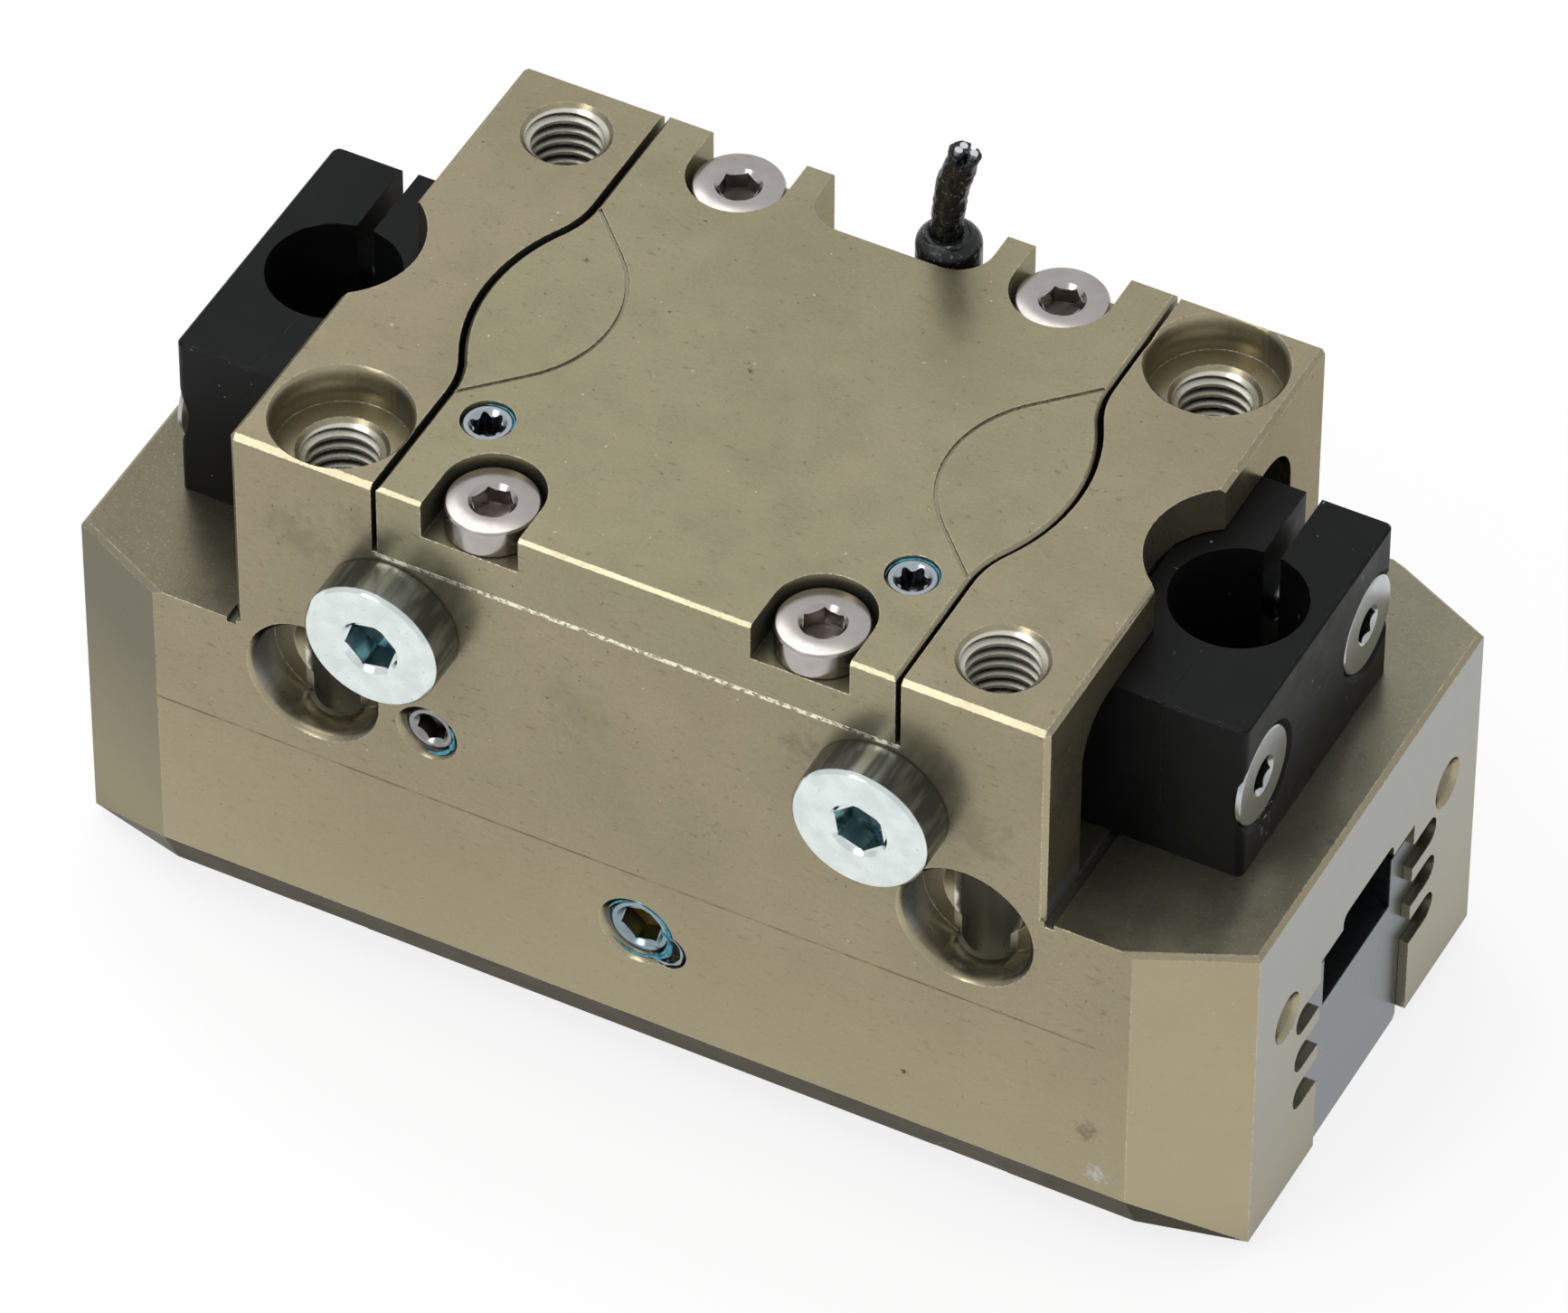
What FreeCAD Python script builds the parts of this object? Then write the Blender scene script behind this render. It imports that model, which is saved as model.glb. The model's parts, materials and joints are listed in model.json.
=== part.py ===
import FreeCAD
import Part
import math
import os

os.makedirs("parts", exist_ok=True)

# Pneumatic parallel gripper with two toothed base jaws, driven through a wedge hook by an oval piston.
# It stands on its jaws, with the mounting face up. X runs along the jaw stroke, Y from the front
# face with the air ports to the rear face with the sensor slots, and Z up to the mounting face.
# All sizes are in millimetres. Heights are counted from the underside of the housing.

# Housing
body_length = 75.0
body_width = 35.0
flange_height = 23.0
body_height = 37.6
upper_half = 25.65
corner_cut_x = 6.4
corner_cut_y = 3.0
bottom_bevel_height = 2.95
bottom_bevel_depth = 1.45
edge_bevel = 0.3
foot_groove_width = 0.6
foot_groove_depth = 0.35
half_length = body_length / 2.0
half_width = body_width / 2.0

# Cover plate and its wavy side line
cover_thickness = 5.0
cover_half = 16.25
cover_gap = 0.35
cover_bevel = 0.2
wave_radius = 12.0
wave_offset = 6.5
wave_blend = 6.0
boss_depth = 2.6
boss_fit = 0.06
cover_seal_lip = 0.7
cover_seal_width = 1.4
cover_seal_depth = 1.2
arc_reach = 10.75
arc_radius = 7.8
arc_end = 8.57
arc_line = 0.13
arc_depth = 0.15
recess_half = 5.6
recess_depth = 4.25
recess_corner = 2.3
cover_seat = body_height - cover_thickness
boss_low = cover_seat - boss_depth

# Jaw slot and guide grooves
slot_half = 6.1
slot_top = 15.1
relief_half = 3.3
relief_height = 1.0
relief_round = 0.6
groove_count = 3
groove_low = 6.35
groove_pitch = 3.05
groove_half = 1.0
groove_reach = 9.2
relief_top = slot_top + relief_height

# Cylinder, piston and rod
bore_radius = 11.0
bore_offset = 4.5
rod_wall = 3.1
piston_height = 5.6
piston_stroke = 5.0
piston_play = 0.1
piston_fit = 0.08
piston_bevel = 0.6
piston_seal_width = 2.0
piston_seal_depth = 1.3
rod_radius = 5.0
rod_fit = 0.08
rod_seal_width = 1.6
rod_seal_depth = 1.35
seal_fit = 0.05
seal_side_gap = 0.04
seal_bevel = 0.3
piston_screw_seat = 3.7
piston_screw_sink = 2.9
piston_screw_clearance = 2.1
piston_screw_head = 3.5
piston_screw_head_height = 2.8
piston_screw_radius = 1.7
piston_screw_length = 9.5
piston_screw_socket = 2.5
magnet_inset = 3.6
magnet_radius = 1.5
magnet_length = 2.5
chamber_floor = relief_top + rod_wall
piston_low = chamber_floor + piston_play

# Base jaws
jaw_stroke = 4.0
jaw_end_gap = 0.6
jaw_drop = 0.9
jaw_fit = 0.05
jaw_top = 13.4
tooth_half = 0.96
tooth_reach = 8.5
channel_half = 4.4
channel_floor = 9.7
channel_length = 16.9
finger_hole_radius = 1.65
finger_hole_depth = 8.0
finger_seat_radius = 3.0
finger_seat_depth = 1.6
finger_seat_bevel = 0.25
finger_hole_inset = 6.9
finger_hole_pitch = 12.0
jaw_half = slot_half - jaw_fit
jaw_end = half_length - jaw_end_gap

# Wedge hook
wedge_bottom = 1.4
wedge_height = 8.6
wedge_low_half = 5.0
wedge_half_width = 5.9
hook_neck_half = 2.0
hook_head_half = 3.6
hook_neck_depth = 1.4
hook_depth = 2.8
hook_fit = 0.04
hook_start = 2.5
hook_root = 0.6
jaw_roof_gap = 0.3
wedge_top = wedge_bottom + wedge_height
slope = jaw_stroke / piston_stroke

# Mounting holes
hole_inset_x = 4.9
hole_inset_y = 4.2
thread_radius = 2.1
thread_mouth = 2.72
seat_radius = 4.0
seat_depth = 2.6
seat_mouth = 4.25
head_bore_radius = 3.6
head_bore_depth = 7.0
side_bore_drop = 2.75
side_bore_depth = 2.75
side_thread_radius = 2.0
end_hole_inset = 7.05
end_hole_drop = 8.45
end_hole_radius = 1.25
end_hole_mouth = 1.6
end_hole_depth = 6.0
hole_x = upper_half - hole_inset_x
hole_y = half_width - hole_inset_y
side_bore_height = flange_height - side_bore_drop
end_hole_y = half_width - end_hole_inset
end_hole_height = flange_height - end_hole_drop

# Air ports
port_x = 15.4
port_drop = 9.7
port_radius = 2.1
port_depth = 7.0
plug_radius = 4.22
plug_proud = 2.8
plug_socket = 3.0
plug_socket_depth = 1.9
plug_shank = 5.0
air_hole_radius = 1.0
air_x = 13.35
air_inset = 7.73
air_cross_drop = 3.33
air_cross_reach = 12.5
air_upper_rise = 0.9
port_height = body_height - port_drop
air_y = air_inset - half_width
air_cross_height = flange_height - air_cross_drop

# Small screws of the cover and of the front face
thread_fit = 0.03
cover_screw_x = 10.35
cover_screw_inset = 2.8
cover_screw_radius = 1.25
cover_screw_clearance = 1.6
cover_pocket_radius = 3.08
cover_pocket_depth = 2.5
cover_head_radius = 2.75
cover_head_height = 1.85
cover_screw_length = 7.0
head_bevel = 0.3
tip_bevel = 0.4
small_socket = 2.0
small_socket_depth = 1.2
set_screw_hole = 1.6
set_screw_sink = 0.2
front_screw_sink = 0.4
lobed_radius = 1.0
lobed_inner = 0.72
set_screw_length = 3.0
set_screw_socket = 1.5
set_screw_bevel = 0.25
centre_drop = 5.1
centre_hole_radius = 2.0
centre_screw_length = 4.0
centre_side_radius = 1.3
centre_side_depth = 1.0
centre_side_x = 1.9
centre_side_z = -0.75
hole_spare = 0.5
cover_screw_y = half_width - cover_screw_inset
centre_height = slot_top - centre_drop

# Sensor brackets
pocket_depth = 2.0
pocket_inset = 4.3
pocket_drop = 3.15
pocket_corner = 3.2
notch_radius = 5.4
bracket_half = 9.4
bracket_gap = 0.1
bracket_inner_part = 5.05
bracket_outer_part = 5.1
sensor_radius = 4.0
slit_inner = 0.35
slit_outer = 0.7
bracket_screw_y = 6.7
bracket_screw_radius = 1.5
bracket_hole_radius = 1.6
bracket_sink_radius = 3.4
bracket_head_radius = 3.0
bracket_head_rim = 0.3
bracket_head_sink = 0.1
bracket_thread_radius = 1.25
bracket_screw_reach = 5.5
bracket_round = 0.5
bracket_bevel = 0.15
pocket_floor = upper_half - pocket_depth
pocket_half = half_width - pocket_inset
pocket_top = body_height - pocket_drop
bracket_top = pocket_top - bracket_gap
seam_x = pocket_floor + bracket_inner_part
bracket_outer = seam_x + bracket_outer_part
bracket_screw_z = (flange_height + bracket_top) / 2.0

# Sensor slots and the magnetic switch
slot_x = 2.9
slot_inset = 2.1
slot_radius = 2.05
slot_mouth_half = 1.35
slot_low = 5.0
switch_radius = 1.95
switch_length = 26.3
switch_rise = 0.7
switch_round = 0.85
cable_radius = 0.95
cable_fit = 0.02
cable_root = 0.8
cable_offset = 0.15
cable_first_run = 1.7
cable_bend_step = 2.9
cable_last_run = 2.6
cable_lean = 0.35
core_radius = 0.24
core_root = 1.2
slot_y = half_width - slot_inset
switch_x = slot_x - (slot_radius - switch_radius)
switch_top = body_height + switch_rise
switch_low = switch_top - switch_length

# Reach of a cut past the surface that it opens
past = 1.0

# Place of the housing in the frame: the jaws stand on the ground, and the plugs stand out in front.
frame_y = plug_proud / 2.0
frame_z = jaw_drop

UP = FreeCAD.Vector(0, 0, 1)
ALONG = FreeCAD.Vector(1, 0, 0)
BACK = FreeCAD.Vector(0, 1, 0)


def vec(x, y, z):
    return FreeCAD.Vector(x, y, z)


def block(x0, x1, y0, y1, z0, z1):
    """Box between two corners."""
    low = vec(min(x0, x1), min(y0, y1), min(z0, z1))
    return Part.makeBox(abs(x1 - x0), abs(y1 - y0), abs(z1 - z0), low)


def rod(radius, start, end):
    """Cylinder between two points."""
    axis = end - start
    return Part.makeCylinder(radius, axis.Length, start, axis)


def cone(r0, r1, start, end):
    """Cone between two points, from radius r0 to radius r1."""
    axis = end - start
    return Part.makeCone(r0, r1, axis.Length, start, axis)


def prism(points, push):
    """Closed outline pushed along a vector."""
    wire = Part.makePolygon(points + [points[0]])
    return Part.Face(wire).extrude(push)


def joined(shapes):
    result = shapes[0]
    for shape in shapes[1:]:
        result = result.fuse(shape)
    return result.removeSplitter()


def without(shape, cutters):
    for cutter in cutters:
        shape = shape.cut(cutter)
    return shape


def mirror_x(shape):
    """Same part on the other side of the middle plane."""
    return shape.mirror(vec(0, 0, 0), ALONG)


def hex_socket(width, start, end):
    """Hexagonal hole of the given width across flats."""
    axis = end - start
    across = vec(axis.z, axis.x, axis.y)
    across.normalize()
    other = axis.cross(across)
    other.normalize()
    radius = width / math.sqrt(3.0)
    points = []
    for step in range(6):
        turn = math.radians(60.0 * step)
        points.append(start + across * (radius * math.cos(turn)) + other * (radius * math.sin(turn)))
    return prism(points, axis)


def lobed_socket(radius, start, end):
    """Six-pointed hole, with blunt points and drawn-in sides."""
    axis = end - start
    across = vec(axis.z, axis.x, axis.y)
    across.normalize()
    other = axis.cross(across)
    other.normalize()
    points = []
    for step in range(12):
        turn = math.radians(30.0 * step)
        reach = radius if step % 2 == 0 else radius * lobed_inner
        points.append(start + across * (reach * math.cos(turn)) + other * (reach * math.sin(turn)))
    return prism(points, axis)


def oval(radius, offset, z0, z1):
    """Upright solid with two half-round ends, set apart along X."""
    middle = block(-offset, offset, -radius, radius, z0, z1)
    left = rod(radius, vec(-offset, 0, z0), vec(-offset, 0, z1))
    right = rod(radius, vec(offset, 0, z0), vec(offset, 0, z1))
    return joined([middle, left, right])


def oval_ring(outer, inner, z0, z1):
    """Upright ring between two ovals."""
    return oval(outer, bore_offset, z0, z1).cut(oval(inner, bore_offset, z0 - 1.0, z1 + 1.0))


def wave_blend_y():
    reach = cover_half + wave_blend - wave_offset
    return math.sqrt((wave_radius + wave_blend) ** 2 - reach ** 2)


def wavy_side(sign, grow, half_width):
    """Edges of one wavy side of the cover from front to rear, grown outwards for the seat."""
    blend_y = wave_blend_y()
    arc_r = wave_radius + grow
    blend_r = wave_blend - grow
    centre_x = cover_half + wave_blend
    side = cover_half + grow
    span = wave_radius + wave_blend
    unit_x = (centre_x - wave_offset) / span
    unit_y = blend_y / span
    meet = vec(sign * (wave_offset + arc_r * unit_x), arc_r * unit_y, 0)
    meet_low = vec(meet.x, -meet.y, 0)
    crest = vec(sign * (wave_offset + arc_r), 0, 0)
    corner = vec(sign * side, blend_y, 0)
    corner_low = vec(sign * side, -blend_y, 0)
    half_turn = math.atan2(blend_y, centre_x - wave_offset) / 2.0
    dip = vec(sign * (centre_x - blend_r * math.cos(half_turn)), blend_y - blend_r * math.sin(half_turn), 0)
    dip_low = vec(dip.x, -dip.y, 0)
    front = vec(sign * side, -half_width, 0)
    rear = vec(sign * side, half_width, 0)
    edges = [Part.LineSegment(front, corner_low).toShape()]
    edges.append(Part.Arc(corner_low, dip_low, meet_low).toShape())
    edges.append(Part.Arc(meet_low, crest, meet).toShape())
    edges.append(Part.Arc(meet, dip, corner).toShape())
    edges.append(Part.LineSegment(corner, rear).toShape())
    return edges, front, rear


def cover_outline(grow, half_width, z0, z1):
    """Upright solid with the two wavy sides."""
    right, right_front, right_rear = wavy_side(1, grow, half_width)
    left, left_front, left_rear = wavy_side(-1, grow, half_width)
    rear_edge = Part.LineSegment(right_rear, left_rear).toShape()
    front_edge = Part.LineSegment(left_front, right_front).toShape()
    wire = Part.Wire(Part.__sortEdges__(right + [rear_edge] + left + [front_edge]))
    face = Part.Face(wire)
    face.translate(vec(0, 0, z0))
    return face.extrude(vec(0, 0, z1 - z0))


def fine_arc(sign):
    """Fine engraved line on the cover: a half round with straight ends at 45 degrees."""
    centre_x = arc_reach + arc_radius
    lean = math.sqrt(0.5)
    turn_x = centre_x - arc_radius * lean
    turn_y = arc_radius * lean
    end_x = turn_x + (arc_end - turn_y)
    z = body_height - arc_depth
    points = []
    for grow in (arc_line, -arc_line):
        step = grow * lean
        points.append([vec(sign * (end_x - step), arc_end + step, z),
                       vec(sign * (turn_x - step), turn_y + step, z),
                       vec(sign * (arc_reach - grow), 0, z),
                       vec(sign * (turn_x - step), -turn_y - step, z),
                       vec(sign * (end_x - step), -arc_end - step, z)])
    outer, inner = points
    edges = [Part.LineSegment(outer[0], outer[1]).toShape()]
    edges.append(Part.Arc(outer[1], outer[2], outer[3]).toShape())
    edges.append(Part.LineSegment(outer[3], outer[4]).toShape())
    edges.append(Part.LineSegment(outer[4], inner[4]).toShape())
    edges.append(Part.LineSegment(inner[4], inner[3]).toShape())
    edges.append(Part.Arc(inner[3], inner[2], inner[1]).toShape())
    edges.append(Part.LineSegment(inner[1], inner[0]).toShape())
    edges.append(Part.LineSegment(inner[0], outer[0]).toShape())
    return Part.Face(Part.Wire(edges)).extrude(vec(0, 0, 1.0))


def near(a, b):
    return abs(a - b) < 1e-4


def ends(edge):
    return edge.Vertexes[0].Point, edge.Vertexes[-1].Point


def upright_edges(shape):
    """Edges that run along Z."""
    found = []
    for edge in shape.Edges:
        a, b = ends(edge)
        if near(a.x, b.x) and near(a.y, b.y) and not near(a.z, b.z):
            found.append(edge)
    return found


def level_edges(shape):
    """Edges that start and end at one height."""
    return [edge for edge in shape.Edges if near(ends(edge)[0].z, ends(edge)[1].z)]


def edges_at_height(shape, height):
    return [edge for edge in level_edges(shape) if near(ends(edge)[0].z, height)]


def edges_along_x(shape, height):
    """Level edges at one height that run along X."""
    return [edge for edge in edges_at_height(shape, height) if near(ends(edge)[0].y, ends(edge)[1].y)]


def edges_across_x(shape, height):
    """Level edges at one height that don't run along X."""
    return [edge for edge in edges_at_height(shape, height) if not near(ends(edge)[0].y, ends(edge)[1].y)]


def bevel_tool(start, end, above):
    """What a bevel takes away: its foot runs from start to end, and its slope passes through above."""
    run = end - start
    out = run.cross(UP)
    out.normalize()
    rise = UP * above.z + out * (above - start).dot(out)
    low = start - run - rise
    high = start - run + rise * 2.0
    away = out * body_width
    return prism([low, high, high + away, low + away], run * 3.0)


def bottom_bevel_cuts():
    """Slanted foot of the long sides, with a facet at each corner that dies out at the end face."""
    foot_x = half_length - corner_cut_x
    cuts = []
    for turn in (1, -1):
        foot_y = -turn * (half_width - bottom_bevel_depth)
        end_y = -turn * (half_width - corner_cut_y)
        above_y = -turn * half_width
        points = [vec(-turn * half_length, end_y, 0), vec(-turn * foot_x, foot_y, 0),
                  vec(turn * foot_x, foot_y, 0), vec(turn * half_length, end_y, 0)]
        left_above = vec(-turn * foot_x, above_y, bottom_bevel_height)
        right_above = vec(turn * foot_x, above_y, bottom_bevel_height)
        cuts.append(bevel_tool(points[0], points[1], left_above))
        cuts.append(bevel_tool(points[1], points[2], right_above))
        cuts.append(bevel_tool(points[2], points[3], right_above))
    return cuts


def housing_block():
    """Outer shape: flange with cut corners and bevelled underside, and the narrower upper block."""
    inner_x = half_length - corner_cut_x
    inner_y = half_width - corner_cut_y
    plan = [vec(-inner_x, -half_width, 0), vec(inner_x, -half_width, 0),
            vec(half_length, -inner_y, 0), vec(half_length, inner_y, 0),
            vec(inner_x, half_width, 0), vec(-inner_x, half_width, 0),
            vec(-half_length, inner_y, 0), vec(-half_length, -inner_y, 0)]
    flange = prism(plan, vec(0, 0, flange_height))
    flange = without(flange, bottom_bevel_cuts())
    flange = flange.makeChamfer(edge_bevel, edges_across_x(flange, flange_height))
    upper = block(-upper_half, upper_half, -half_width, half_width, slot_top, body_height)
    upper = upper.makeChamfer(edge_bevel, edges_at_height(upper, body_height) + upright_edges(upper))
    solid = joined([flange, upper])
    cuts = []
    for sign in (1, -1):
        cuts.append(block(sign * upper_half, sign * (upper_half + foot_groove_width), -body_width, body_width,
                          flange_height - foot_groove_depth, body_height))
    return without(solid, cuts)


def cover_seat_cuts():
    cuts = [cover_outline(cover_gap, body_width, cover_seat, body_height + past)]
    cuts.append(oval(bore_radius, bore_offset, chamber_floor, cover_seat + past))
    low = body_height - cover_pocket_depth - cover_screw_length - hole_spare
    for x in (-cover_screw_x, cover_screw_x):
        for y in (-cover_screw_y, cover_screw_y):
            cuts.append(rod(cover_screw_radius, vec(x, y, low), vec(x, y, cover_seat + past)))
    return cuts


def jaw_slot_cuts():
    """Slot through the whole length, with the guide grooves and the relief in its ceiling."""
    end = half_length + past
    cuts = [block(-end, end, -slot_half, slot_half, -past, slot_top)]
    arch = block(-end, end, -relief_half, relief_half, slot_top - past, relief_top)
    cuts.append(arch.makeFillet(relief_round, edges_along_x(arch, relief_top)))
    for index in range(groove_count):
        z = groove_low + groove_pitch * index
        for sign in (1, -1):
            tip = sign * (groove_reach - groove_half)
            cuts.append(block(-end, end, 0, tip, z - groove_half, z + groove_half))
            cuts.append(rod(groove_half, vec(-end, tip, z), vec(end, tip, z)))
    return cuts


def rod_seal_low():
    return (relief_top + chamber_floor - rod_seal_width) / 2.0


def rod_bore_cuts():
    low = rod_seal_low()
    bore = rod(rod_radius + rod_fit, vec(0, 0, slot_top - past), vec(0, 0, chamber_floor + past))
    groove = rod(rod_radius + rod_seal_depth, vec(0, 0, low), vec(0, 0, low + rod_seal_width))
    return [bore, groove]


def mounting_hole_cuts():
    """Four corner threads, two of them with a centring seat, with screw head bores on the jaw side."""
    cuts = []
    for sx in (-1, 1):
        for sy in (-1, 1):
            x = sx * hole_x
            y = sy * hole_y
            seated = sx == sy
            top = body_height - (seat_depth if seated else 0.0)
            mouth = thread_mouth - thread_radius
            cuts.append(rod(thread_radius, vec(x, y, 0), vec(x, y, top + past)))
            cuts.append(cone(thread_radius, thread_mouth, vec(x, y, top - mouth), vec(x, y, top)))
            if seated:
                lip = seat_mouth - seat_radius
                cuts.append(rod(seat_radius, vec(x, y, top), vec(x, y, body_height + past)))
                cuts.append(cone(seat_radius, seat_mouth + edge_bevel, vec(x, y, body_height - lip),
                                 vec(x, y, body_height + edge_bevel)))
            cuts.append(rod(head_bore_radius, vec(x, y, -past), vec(x, y, head_bore_depth)))
    return cuts


def side_bore_cuts():
    """Two centring bores in the front face, each with a thread behind it."""
    cuts = []
    z = side_bore_height
    floor = side_bore_depth - half_width
    mouth = thread_mouth - side_thread_radius
    for sign in (-1, 1):
        x = sign * hole_x
        cuts.append(rod(seat_radius, vec(x, -half_width - past, z), vec(x, floor, z)))
        cuts.append(cone(seat_radius + 2 * edge_bevel, seat_radius, vec(x, -half_width - edge_bevel, z),
                         vec(x, -half_width + edge_bevel, z)))
        cuts.append(rod(side_thread_radius, vec(x, -half_width, z), vec(x, -hole_y, z)))
        cuts.append(cone(thread_mouth, side_thread_radius, vec(x, floor, z), vec(x, floor + mouth, z)))
    return cuts


def end_hole_cuts():
    """Two small threads in each end face."""
    cuts = []
    z = end_hole_height
    mouth = end_hole_mouth - end_hole_radius
    for sx in (-1, 1):
        face = sx * half_length
        for y in (-end_hole_y, end_hole_y):
            cuts.append(rod(end_hole_radius, vec(face + sx, y, z), vec(face - sx * end_hole_depth, y, z)))
            cuts.append(cone(end_hole_radius + 2 * mouth, end_hole_radius, vec(face + sx * mouth, y, z),
                             vec(face - sx * mouth, y, z)))
    return cuts


def air_cuts():
    """Front ports, the drillings behind them and the two holes up to the cover."""
    cuts = []
    port_end = port_depth - half_width
    for sign in (-1, 1):
        x = sign * port_x
        z = port_height
        cuts.append(rod(port_radius, vec(x, -half_width - past, z), vec(x, port_end, z)))
        low = air_cross_height if sign < 0 else z
        up = vec(sign * air_x, air_y, low)
        cuts.append(rod(air_hole_radius, up, vec(up.x, up.y, cover_seat + past)))
        cuts.append(rod(air_hole_radius, vec(x, port_end - past, z), vec(up.x, up.y, z)))
    high = port_height + air_upper_rise
    inner_y = air_cross_reach - half_width
    cuts.append(rod(air_hole_radius, vec(air_x, air_y, high), vec(air_x, inner_y, high)))
    low = air_cross_height
    cuts.append(rod(air_hole_radius, vec(-air_x, -half_width - past, low), vec(-air_x, inner_y, low)))
    seat_end = front_screw_sink + set_screw_length - half_width
    cuts.append(rod(set_screw_hole, vec(-air_x, -half_width - past, low), vec(-air_x, seat_end, low)))
    return cuts


def centre_cuts():
    """Closed drilling low on the front face, with a second shallow drilling cut into its side."""
    z = centre_height
    side_x = centre_side_x
    side_z = z + centre_side_z
    deep_end = centre_screw_length + hole_spare - half_width
    deep = rod(centre_hole_radius, vec(0, -half_width - past, z), vec(0, deep_end, z))
    narrow = rod(air_hole_radius, vec(0, -half_width, z), vec(0, -slot_half, z))
    side = rod(centre_side_radius, vec(side_x, -half_width - past, side_z),
               vec(side_x, centre_side_depth - half_width, side_z))
    return [deep, narrow, side]


def bracket_pocket_cuts():
    """Pockets and round notches in the two end walls of the upper block, with two threads each."""
    cuts = []
    for sign in (-1, 1):
        pocket = block(sign * pocket_floor, sign * (upper_half + past), -pocket_half, pocket_half,
                       flange_height, pocket_top)
        cuts.append(pocket.makeFillet(pocket_corner, edges_along_x(pocket, pocket_top)))
        notch_low = vec(sign * seam_x, 0, pocket_top - past)
        cuts.append(rod(notch_radius, notch_low, vec(sign * seam_x, 0, body_height + past)))
        for y in (-bracket_screw_y, bracket_screw_y):
            mouth = vec(sign * (pocket_floor + past), y, bracket_screw_z)
            end = vec(sign * (pocket_floor - bracket_screw_reach - hole_spare), y, bracket_screw_z)
            cuts.append(rod(bracket_thread_radius, mouth, end))
    return cuts


def sensor_slot_cuts():
    cuts = []
    high = cover_seat + past
    rear = half_width + past
    for x in (-slot_x, slot_x):
        cuts.append(rod(slot_radius, vec(x, slot_y, slot_low), vec(x, slot_y, high)))
        cuts.append(block(x - slot_mouth_half, x + slot_mouth_half, slot_y, rear, slot_low, high))
    return cuts


def make_housing():
    solid = housing_block()
    solid = without(solid, cover_seat_cuts())
    solid = without(solid, jaw_slot_cuts())
    solid = without(solid, rod_bore_cuts())
    solid = without(solid, mounting_hole_cuts())
    solid = without(solid, side_bore_cuts())
    solid = without(solid, end_hole_cuts())
    solid = without(solid, air_cuts())
    solid = without(solid, centre_cuts())
    solid = without(solid, bracket_pocket_cuts())
    return without(solid, sensor_slot_cuts())


def cover_pocket(x, y):
    """Round screw pocket, open to the nearer face."""
    floor = body_height - cover_pocket_depth
    outside = math.copysign(half_width + past, y)
    seat = rod(cover_pocket_radius, vec(x, y, floor), vec(x, y, body_height + past))
    mouth = block(x - cover_pocket_radius, x + cover_pocket_radius, y, outside, floor, body_height + past)
    hole = rod(cover_screw_clearance, vec(x, y, boss_low), vec(x, y, body_height))
    return [seat, mouth, hole]


def cover_recess():
    """Notch in the rear edge over the sensor slots."""
    deep = half_width - recess_depth
    notch = block(-recess_half, recess_half, deep, half_width + recess_depth, 0, body_height + past)
    inner = [edge for edge in upright_edges(notch) if near(ends(edge)[0].y, deep)]
    return notch.makeFillet(recess_corner, inner)


def cover_seal_groove(clearance):
    """Ring in the side of the boss, made lower by a clearance on each side for the seal itself."""
    low = boss_low + cover_seal_lip + clearance
    high = boss_low + cover_seal_lip + cover_seal_width - clearance
    return oval_ring(bore_radius, bore_radius - cover_seal_depth, low, high)


def make_cover():
    plate = cover_outline(0.0, half_width, cover_seat, body_height)
    plate = plate.makeChamfer(cover_bevel, edges_at_height(plate, body_height))
    boss = oval(bore_radius - boss_fit, bore_offset, boss_low, cover_seat + past)
    cuts = [cover_recess(), cover_seal_groove(0.0)]
    for x in (-cover_screw_x, cover_screw_x):
        for y in (-cover_screw_y, cover_screw_y):
            cuts += cover_pocket(x, y)
    for sign in (-1, 1):
        x = sign * air_x
        cuts.append(rod(set_screw_hole, vec(x, air_y, boss_low), vec(x, air_y, body_height + past)))
        cuts.append(fine_arc(sign))
    return without(joined([plate, boss]), cuts)


def make_cover_seal():
    return cover_seal_groove(seal_side_gap)


def low_head_screw(seat, axis, head_radius, head_height, shank_radius, shank_length, socket, socket_depth):
    """Screw with a low bevelled head; seat is the middle under the head and axis points out of the head."""
    top = seat + axis * head_height
    head = rod(head_radius, seat, top - axis * head_bevel)
    crown = cone(head_radius, head_radius - head_bevel, top - axis * head_bevel, top)
    tip = seat - axis * shank_length
    shank = rod(shank_radius, tip + axis * tip_bevel, seat)
    point = cone(shank_radius - tip_bevel, shank_radius, tip, tip + axis * tip_bevel)
    solid = joined([head, crown, shank, point])
    return solid.cut(hex_socket(socket, top - axis * socket_depth, top + axis * past))


def make_cover_screws():
    """The four screws of the cover."""
    floor = body_height - cover_pocket_depth
    screws = []
    for x in (-cover_screw_x, cover_screw_x):
        for y in (-cover_screw_y, cover_screw_y):
            screws.append(low_head_screw(vec(x, y, floor), UP, cover_head_radius, cover_head_height,
                                         cover_screw_radius - thread_fit, cover_screw_length,
                                         small_socket, small_socket_depth))
    return Part.makeCompound(screws)


def set_screw(radius, start, end, socket):
    """Headless screw from its blind end to its socket end, less the given socket."""
    axis = end - start
    axis.normalize()
    body = rod(radius, start, end - axis * set_screw_bevel)
    crown = cone(radius, radius - set_screw_bevel, end - axis * set_screw_bevel, end)
    return joined([body, crown]).cut(socket)


def make_cover_set_screws():
    """Lobed set screws that close the two air holes in the cover."""
    screws = []
    for sign in (-1, 1):
        top = vec(sign * air_x, air_y, body_height - set_screw_sink)
        foot = vec(top.x, top.y, cover_seat)
        socket = lobed_socket(lobed_radius, (foot + top) * 0.5, top + UP * past)
        screws.append(set_screw(set_screw_hole - thread_fit, foot, top, socket))
    return Part.makeCompound(screws)


def make_air_plug(sign):
    face = vec(sign * port_x, -half_width, port_height)
    return low_head_screw(face, BACK * -1.0, plug_radius, plug_proud, port_radius - thread_fit, plug_shank,
                          plug_socket, plug_socket_depth)


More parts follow.
